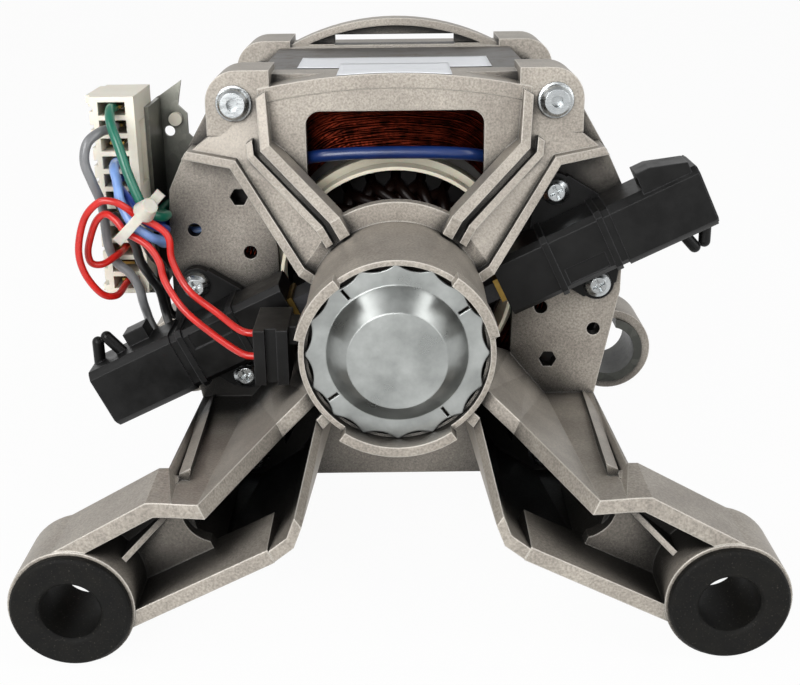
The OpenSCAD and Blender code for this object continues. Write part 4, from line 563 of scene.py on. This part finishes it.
# Front sleeves and the terminal bracket: galvanised sheet steel, rolled or folded after coating, so the
# zinc shows faint spangles about 3 mm wide. The sleeves get darker tones as painted shade, and painted
# shade darkens the folds and the bores.
for name, low, high, reach, clear, nodes in (
        ("galvanised_sheet", "#8d8e86", "#adada3", 14, 0.8, ("terminal_bracket",)),
        ("shaded_zinc_sleeve", "#4c4d49", "#686963", 30, 0.95, ("front_sleeve_left", "front_sleeve_right"))):
    galvanised, tree, shader, place = new_finish(name, Metallic=0.85)
    spangle = add(tree, "TexVoronoi", {"Vector": place, "Scale": 1 / (3 * MM)}).outputs["Color"]
    shade = add(tree, "SeparateColor", {0: spangle}).outputs[0]
    fine = add(tree, "TexNoise", {"Vector": place, "Scale": 1 / (1.2 * MM), "Detail": 4}).outputs["Fac"]
    shade = add(tree, "Math", {0: shade, 1: fine}, operation="MULTIPLY").outputs[0]
    zinc = add(tree, "Mix", {FAC: shade, LOW: linear(low), HIGH: linear(high)},
               data_type="RGBA").outputs[MIXED]
    # painted shade: the colour is darkened in the folds and bores
    zinc = with_painted_shade(tree, zinc, reach, shut=0.2, clear=clear, darkest=0.1)
    dull = add(tree, "MapRange", {"Value": fine, "To Min": 0.3, "To Max": 0.5}).outputs[0]
    feed(shader, {"Base Color": zinc, "Roughness": dull})
    dress(galvanised, *nodes)

# Leads: stranded copper in PVC, extruded, so the skin is glossy with a slow wave along it. They leave the
# terminal block, most of them through one tie, for the stack, the coils and the tacho plug; a sleeved one
# crosses the window in front of the upper coil.
plate_y = 64.0  # station that the routes count from
way_x, way_z, way_pitch = -78.25, 2.7, 5
in_cell, out_of_cell, in_notch, plug_side, stack_side = -5.1, -10.0, 8.0, -37.8, -60.15
lead_gap = 0.5  # between the coil and the end of a lead
thick, thin, sleeved = 1.35, 1.0, 1.8  # radii
lead_steps, lead_sides = 10, 14


def from_way(i):
    """The start of a lead in way i of the block: straight out of its cell, i pitches above the first
    way."""
    z = way_z + way_pitch * i
    return [(way_x, in_cell, z), (way_x, out_of_cell, z)]


def at_coil(z):
    """Where a lead at a height ends by the coil: x is minus the root of radius squared - z squared."""
    return -math.sqrt((coil_out_r + lead_gap) ** 2 - z * z)


def to_coil(z):
    """The end of a lead at one height: round into a notch of the brush plate, then in to the coil."""
    return [(-68, 5.8, z), (-65.4, 7.8, z), (-61.6, in_notch, z), (at_coil(z), in_notch, z)]


coil_half = [(0, -3.8, 38.9), (12, -3.6, 38.7), (20.5, -2.6, 38), (25, 0.2, 36.8), (28.4, 2.9, 35.2)]
leads = {
    "green": (thick, "#0c6a54", "green_lead", from_way(10) + [
        (-77, -15.5, 49.5), (-74.6, -18.5, 43.5), (-72, -20.4, 35.5), (-68.4, -21.2, 27.2),
        (-65, -19, 24.8), (-64, -14, 24), (-66, -7, 22.6), (-68.7, 0, 21.4), (-68.8, 6, 21),
        (-68.4, 12, 21), (-66, 16.4, 21), (stack_side, 16.6, 21)]),
    "grey": (thick, "#77787a", "grey_lead", from_way(9) + [
        (-80.5, -14.5, 47.4), (-83.4, -17.6, 45), (-84.4, -18.4, 40), (-83, -18, 34.5), (-81.8, -16, 29),
        (-82, -12.6, 24), (-81.8, -11.6, 15), (-80, -11, 9.6), (-76.8, -11, 6.6), (-74.4, -10.6, 2),
        (-74, -8.4, -3.4), (-74.1, -4.6, -7.6), (-74.2, -1, -11.4), (-73.8, 3, -15.4), (-72, 6.4, -18),
        (-68.6, in_notch, -18.8), (-63, in_notch, -18.8), (at_coil(-18.8), in_notch, -18.8)]),
    "light_blue": (thick, "#7fa3e0", "light_blue_lead", from_way(7) + [
        (-77.4, -15, 37), (-76, -18.4, 34), (-75, -21, 29.5), (-71.8, -23, 23.7), (-68, -22, 20.2),
        (-65.4, -18, 17.6), (-66, -11, 15), (-68.6, -4, 13.9), (-68.9, 2.4, 13.6)] + to_coil(13.6)),
    "dark_blue": (thick, "#1f3f9c", "dark_blue_lead", from_way(6) + [
        (-76.6, -14.6, 32), (-73.4, -17.6, 29), (-70.5, -19.6, 25), (-67, -18, 22), (-65, -14, 20),
        (-66, -8, 18.4), (-68.6, -3, 17.5), (-68.9, 2.4, 17)] + to_coil(17)),
    "red_upper": (thin, "#c91a10", "red_lead", from_way(0) + [
        (-79.4, -17, 1.6), (-82.6, -21, 3.4), (-86, -23.6, 10), (-87, -24, 17), (-84.6, -24, 25.6),
        (-80, -25, 30.4), (-76, -25.2, 30.6), (-72.8, -24.4, 28.6), (-69.9, -23.6, 25.7),
        (-65.4, -23.4, 23.4), (-62.2, -23.6, 20), (-61.6, -24, 13.5), (-57.4, -25.6, 5.6),
        (-49, -31, 0.6), (-42, -38, -2), (plug_side, -39, -2.5)]),
    "red_lower": (thin, "#c91a10", "red_lead", from_way(2) + [
        (-79.6, -14.4, 12.2), (-82.4, -17.6, 11), (-85, -19.2, 11.8), (-85.6, -19.8, 15),
        (-84.4, -20.4, 19.4), (-82, -21.4, 24.4), (-79, -22.6, 26.6), (-76, -23.8, 25),
        (-73.5, -24.4, 21.9), (-68, -25, 18.4), (-65, -25.6, 14), (-63.4, -26.4, 8), (-58.4, -28.4, 0.6),
        (-50, -33, -5), (-42, -38, -8.6), (plug_side, -39, -9)]),
    "black_upper": (thick, "#151516", "black_lead", from_way(4) + [
        (-78.2, -15.5, 24), (-76.6, -19.6, 23.6), (-73.9, -21.4, 21.5), (-72.2, -20.8, 17.6),
        (-71.4, -19, 12), (-70, -15, 6.6), (-68.8, -9, 0.4), (-68.9, -3, -7.6),
        (-69, 2.4, -13.6)] + to_coil(-15.4)),
    "black_lower": (thick, "#151516", "black_lead", from_way(5) + [
        (-76.8, -14.4, 27), (-74.6, -17.4, 25), (-72.4, -18.6, 22.4), (-70.4, -18, 18.6),
        (-68.8, -15.8, 13.2), (-67, -11.4, 8.4), (-67.4, -6.5, 3.6), (-68.6, -3, -1.8),
        (-69, 2.4, -9.2)] + to_coil(-12)),
    "coil_blue": (sleeved, "#0f2a60", "dark_blue_lead",
                  [(-x, y, z) for x, y, z in coil_half[::-1]] + coil_half[1:]),
}
lead_node = {"coil_blue": "coil_lead_blue"}  # the one CAD node that isn't named lead and colour
pvc_finishes = {}
for name, (radius, colour, slot_name, route) in leads.items():
    if colour not in pvc_finishes:
        pvc, tree, shader, place = new_finish("pvc_" + slot_name, IOR=1.53, Coat_Weight=0.25,
                                              Coat_Roughness=0.12)
        slow = add(tree, "TexNoise", {"Vector": place, "Scale": 1 / (5 * MM), "Detail": 3}).outputs["Fac"]
        fine = add(tree, "TexNoise", {"Vector": place, "Scale": 1 / (0.5 * MM)}).outputs["Fac"]
        shade = add(tree, "MapRange", {"Value": slow, "From Min": 0.3, "From Max": 0.7,
                                       "To Min": 0.8, "To Max": 1.08}).outputs[0]
        skin = add(tree, "Mix", {FAC: 1.0, LOW: linear(colour), HIGH: shade},
                   data_type="RGBA", blend_type="MULTIPLY").outputs[MIXED]
        dull = add(tree, "MapRange", {"Value": slow, "To Min": 0.26, "To Max": 0.42}).outputs[0]
        relief = add(tree, "Bump", {"Height": fine, "Strength": 0.06, "Distance": 0.05 * MM}).outputs[0]
        feed(shader, {"Base Color": skin, "Roughness": dull, "Normal": relief})
        pvc_finishes[colour] = pvc
    path = spline(np.array(route) + np.array([0, plate_y, 0]), lead_steps)
    points, faces = tube(path, radius, lead_sides)
    lead = add_piece(f"pvc_lead_{name}", motor(points), faces, pvc_finishes[colour], "housing")
    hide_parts(lead_node.get(name, "lead_" + name))

# Cable tie: natural nylon, moulded in one piece and pulled tight round the leads. It is milky and lets a
# little light in.
natural_nylon, tree, shader, place = new_finish("natural_nylon", IOR=1.53, Subsurface_Weight=0.4,
                                                Subsurface_Scale=1.0 * MM)
milk = add(tree, "TexNoise", {"Vector": place, "Scale": 1 / (2 * MM), "Detail": 3}).outputs["Fac"]
rounded = add(tree, "Bevel", {"Radius": 0.7 * MM}, samples=6).outputs["Normal"]
nylon = add(tree, "Mix", {FAC: milk, LOW: linear("#bfbcb1"), HIGH: linear("#dad7cc")},
            data_type="RGBA").outputs[MIXED]
dull = add(tree, "MapRange", {"Value": milk, "To Min": 0.28, "To Max": 0.4}).outputs[0]
feed(shader, {"Base Color": nylon, "Roughness": dull, "Normal": rounded})
dress(natural_nylon, "cable_tie")

# Labels: two blank paper stickers, the wide one on the flat top of the stack and the small one lapped
# over it and down on the roof of the rear shield, so it follows the roof's arc: top - x squared / 2 r.
stack_top, roof_top, roof_r = 60.12, 61.4, 182.5
step_from, step_length, lap = 67.5, 4, 0.33  # the small label's step from the roof to over the wide label
lifted_edge, edge_power, paper_thickness = 0.08, 8, 0.09
label_columns, label_rows = 25, 13


def sheet_faces(columns, rows):
    """Quads of a flat grid of corners, counted row by row in each column, that face up."""
    i, j = np.meshgrid(np.arange(columns - 1), np.arange(rows - 1), indexing="ij")
    corner = i * rows + j
    return np.stack([corner, corner + rows, corner + rows + 1, corner + 1], -1).reshape(-1, 4).tolist()


label_paper = mottled_finish("label_paper", grain=1.5, detail=4, colours=("#ebeff5", "#f8fafd"),
                             dull=(0.45, 0.6), IOR=1.45, Coat_Weight=0.2, Coat_Roughness=0.3)
for name, low, high in (("wide", (-28.5, 80), (28.5, 104)), ("small", (-16, 58.3), (16, 86))):
    u, v = np.meshgrid(np.linspace(low[0], high[0], label_columns),
                       np.linspace(low[1], high[1], label_rows), indexing="ij")
    across = 2 * (u - low[0]) / (high[0] - low[0]) - 1
    along = 2 * (v - low[1]) / (high[1] - low[1]) - 1
    curl = lifted_edge * (across ** edge_power + along ** edge_power)
    step = eased((v - step_from) / step_length)
    lapped = (1 - step) * (roof_top - u ** 2 / (2 * roof_r)) + step * (stack_top + lap)
    level = stack_top if name == "wide" else lapped
    top = np.stack([u, v, level + curl], -1).reshape(-1, 3)
    quads = sheet_faces(label_columns, label_rows)
    label = add_piece(f"label_{name}", motor(top), quads, label_paper, "housing")
    thick_paper = label.modifiers.new("paper", "SOLIDIFY")
    thick_paper.thickness = paper_thickness * MM

# Stage: a plain pale floor under the feet, soft studio light from above and both sides, and the camera at
# the rear, looking down at the hub. The floor glows to the eye and in mirrors, so it fades into the
# backdrop.
floor_level, floor_glow = -0.3, 0.96  # in mm, and the share of glow
floor_half, floor_near, floor_far, floor_columns, floor_rows = 4, -4, 6, 9, 11  # in metres, and its corners
floor_finish, tree, shader, place = new_finish("pale_floor", Roughness=0.85)
paper = add(tree, "TexNoise", {"Vector": place, "Scale": 1 / (60 * MM)}).outputs["Fac"]
pale = add(tree, "Mix", {FAC: paper, LOW: linear("#e2e2e0"), HIGH: linear("#e8e8e6")},
           data_type="RGBA").outputs[MIXED]
feed(shader, {"Base Color": pale})
rays = add(tree, "LightPath").outputs
seen = add(tree, "Math", {0: rays["Is Camera Ray"], 1: rays["Is Glossy Ray"]},
           operation="MAXIMUM").outputs[0]
seen = add(tree, "Math", {0: seen, 1: rays["Is Transmission Ray"]}, operation="MAXIMUM").outputs[0]
share = add(tree, "Math", {0: seen, 1: floor_glow}, operation="MULTIPLY").outputs[0]
glow = add(tree, "Emission", {"Color": (1, 1, 1, 1), "Strength": 1.0}).outputs[0]
blended = add(tree, "MixShader", {0: share, 1: shader.outputs[0], 2: glow}).outputs[0]
feed(tree.nodes["Material Output"], {"Surface": blended})
u, v = np.meshgrid(np.linspace(-floor_half, floor_half, floor_columns),
                   np.linspace(floor_near, floor_far, floor_rows), indexing="ij")
corners = np.stack([u, v, np.full_like(u, floor_level * MM)], -1).reshape(-1, 3)
floor_mesh = bpy.data.meshes.new("pale_floor")
floor_mesh.from_pydata(corners.tolist(), [], sheet_faces(floor_columns, floor_rows))
floor_mesh.materials.append(floor_finish)
floor = bpy.data.objects.new("pale_floor", floor_mesh)
bpy.context.scene.collection.objects.link(floor)

for name, spot, aim, size, watts in (
        ("key", (-0.32, -0.92, 0.42), (0, -0.02, 0.06), 0.6, 8.6),
        ("fill", (0.75, -0.6, 0.36), (0, -0.02, 0.06), 0.5, 2.2),
        ("left_box", (-0.56, -0.32, 0.72), (0, -0.05, 0.06), 0.35, 1.6),
        ("right_box", (0.56, -0.32, 0.72), (0, -0.05, 0.06), 0.35, 1.4)):
    lamp = bpy.data.lights.new(name, "AREA")
    lamp.energy, lamp.size = watts, size
    holder = bpy.data.objects.new(name, lamp)
    holder.location = spot
    holder.rotation_euler = (Vector(aim) - Vector(spot)).to_track_quat("-Z", "Y").to_euler()
    bpy.context.scene.collection.objects.link(holder)

world = bpy.data.worlds.new("studio")
bpy.context.scene.world = world
world.use_nodes = True
tree = world.node_tree
rays = add(tree, "LightPath").outputs
mirrored = add(tree, "Math", {0: rays["Is Glossy Ray"], 1: rays["Is Transmission Ray"]},
               operation="MAXIMUM").outputs[0]
way = add(tree, "SeparateXYZ", {0: add(tree, "TexCoord").outputs["Generated"]}).outputs
backdrop = add(tree, "MapRange", {"Value": way["Y"], "From Min": -0.9, "From Max": 0.2,
                                  "To Min": 0.45}).outputs[0]
ceiling = add(tree, "MapRange", {"Value": way["Z"], "From Min": 0.3, "From Max": 0.9,
                                 "To Min": 1.0, "To Max": 0.5}).outputs[0]
level = add(tree, "Mix", {"Factor": mirrored, "A": 0.3, "B": backdrop}).outputs[0]
level = add(tree, "Math", {0: level, 1: ceiling}, operation="MULTIPLY").outputs[0]
level = add(tree, "Math", {0: level, 1: rays["Is Camera Ray"]}, operation="MAXIMUM").outputs[0]
feed(tree.nodes["Background"], {"Color": (1, 1, 1, 1), "Strength": level})

view_from, view_tilt, view_roll = (0.0007, -0.3633, 0.1705), math.radians(70), math.radians(-0.65)
camera = bpy.data.cameras.new("camera")
camera.lens, camera.sensor_width, camera.clip_start = 54.54, 36, 0.01
viewer = bpy.data.objects.new("camera", camera)
turned = Matrix.Rotation(view_tilt, 4, "X") @ Matrix.Rotation(view_roll, 4, "Z")
viewer.matrix_world = Matrix.Translation(view_from) @ turned
bpy.context.scene.collection.objects.link(viewer)
bpy.context.scene.camera = viewer
bpy.context.scene.view_settings.view_transform = "Standard"
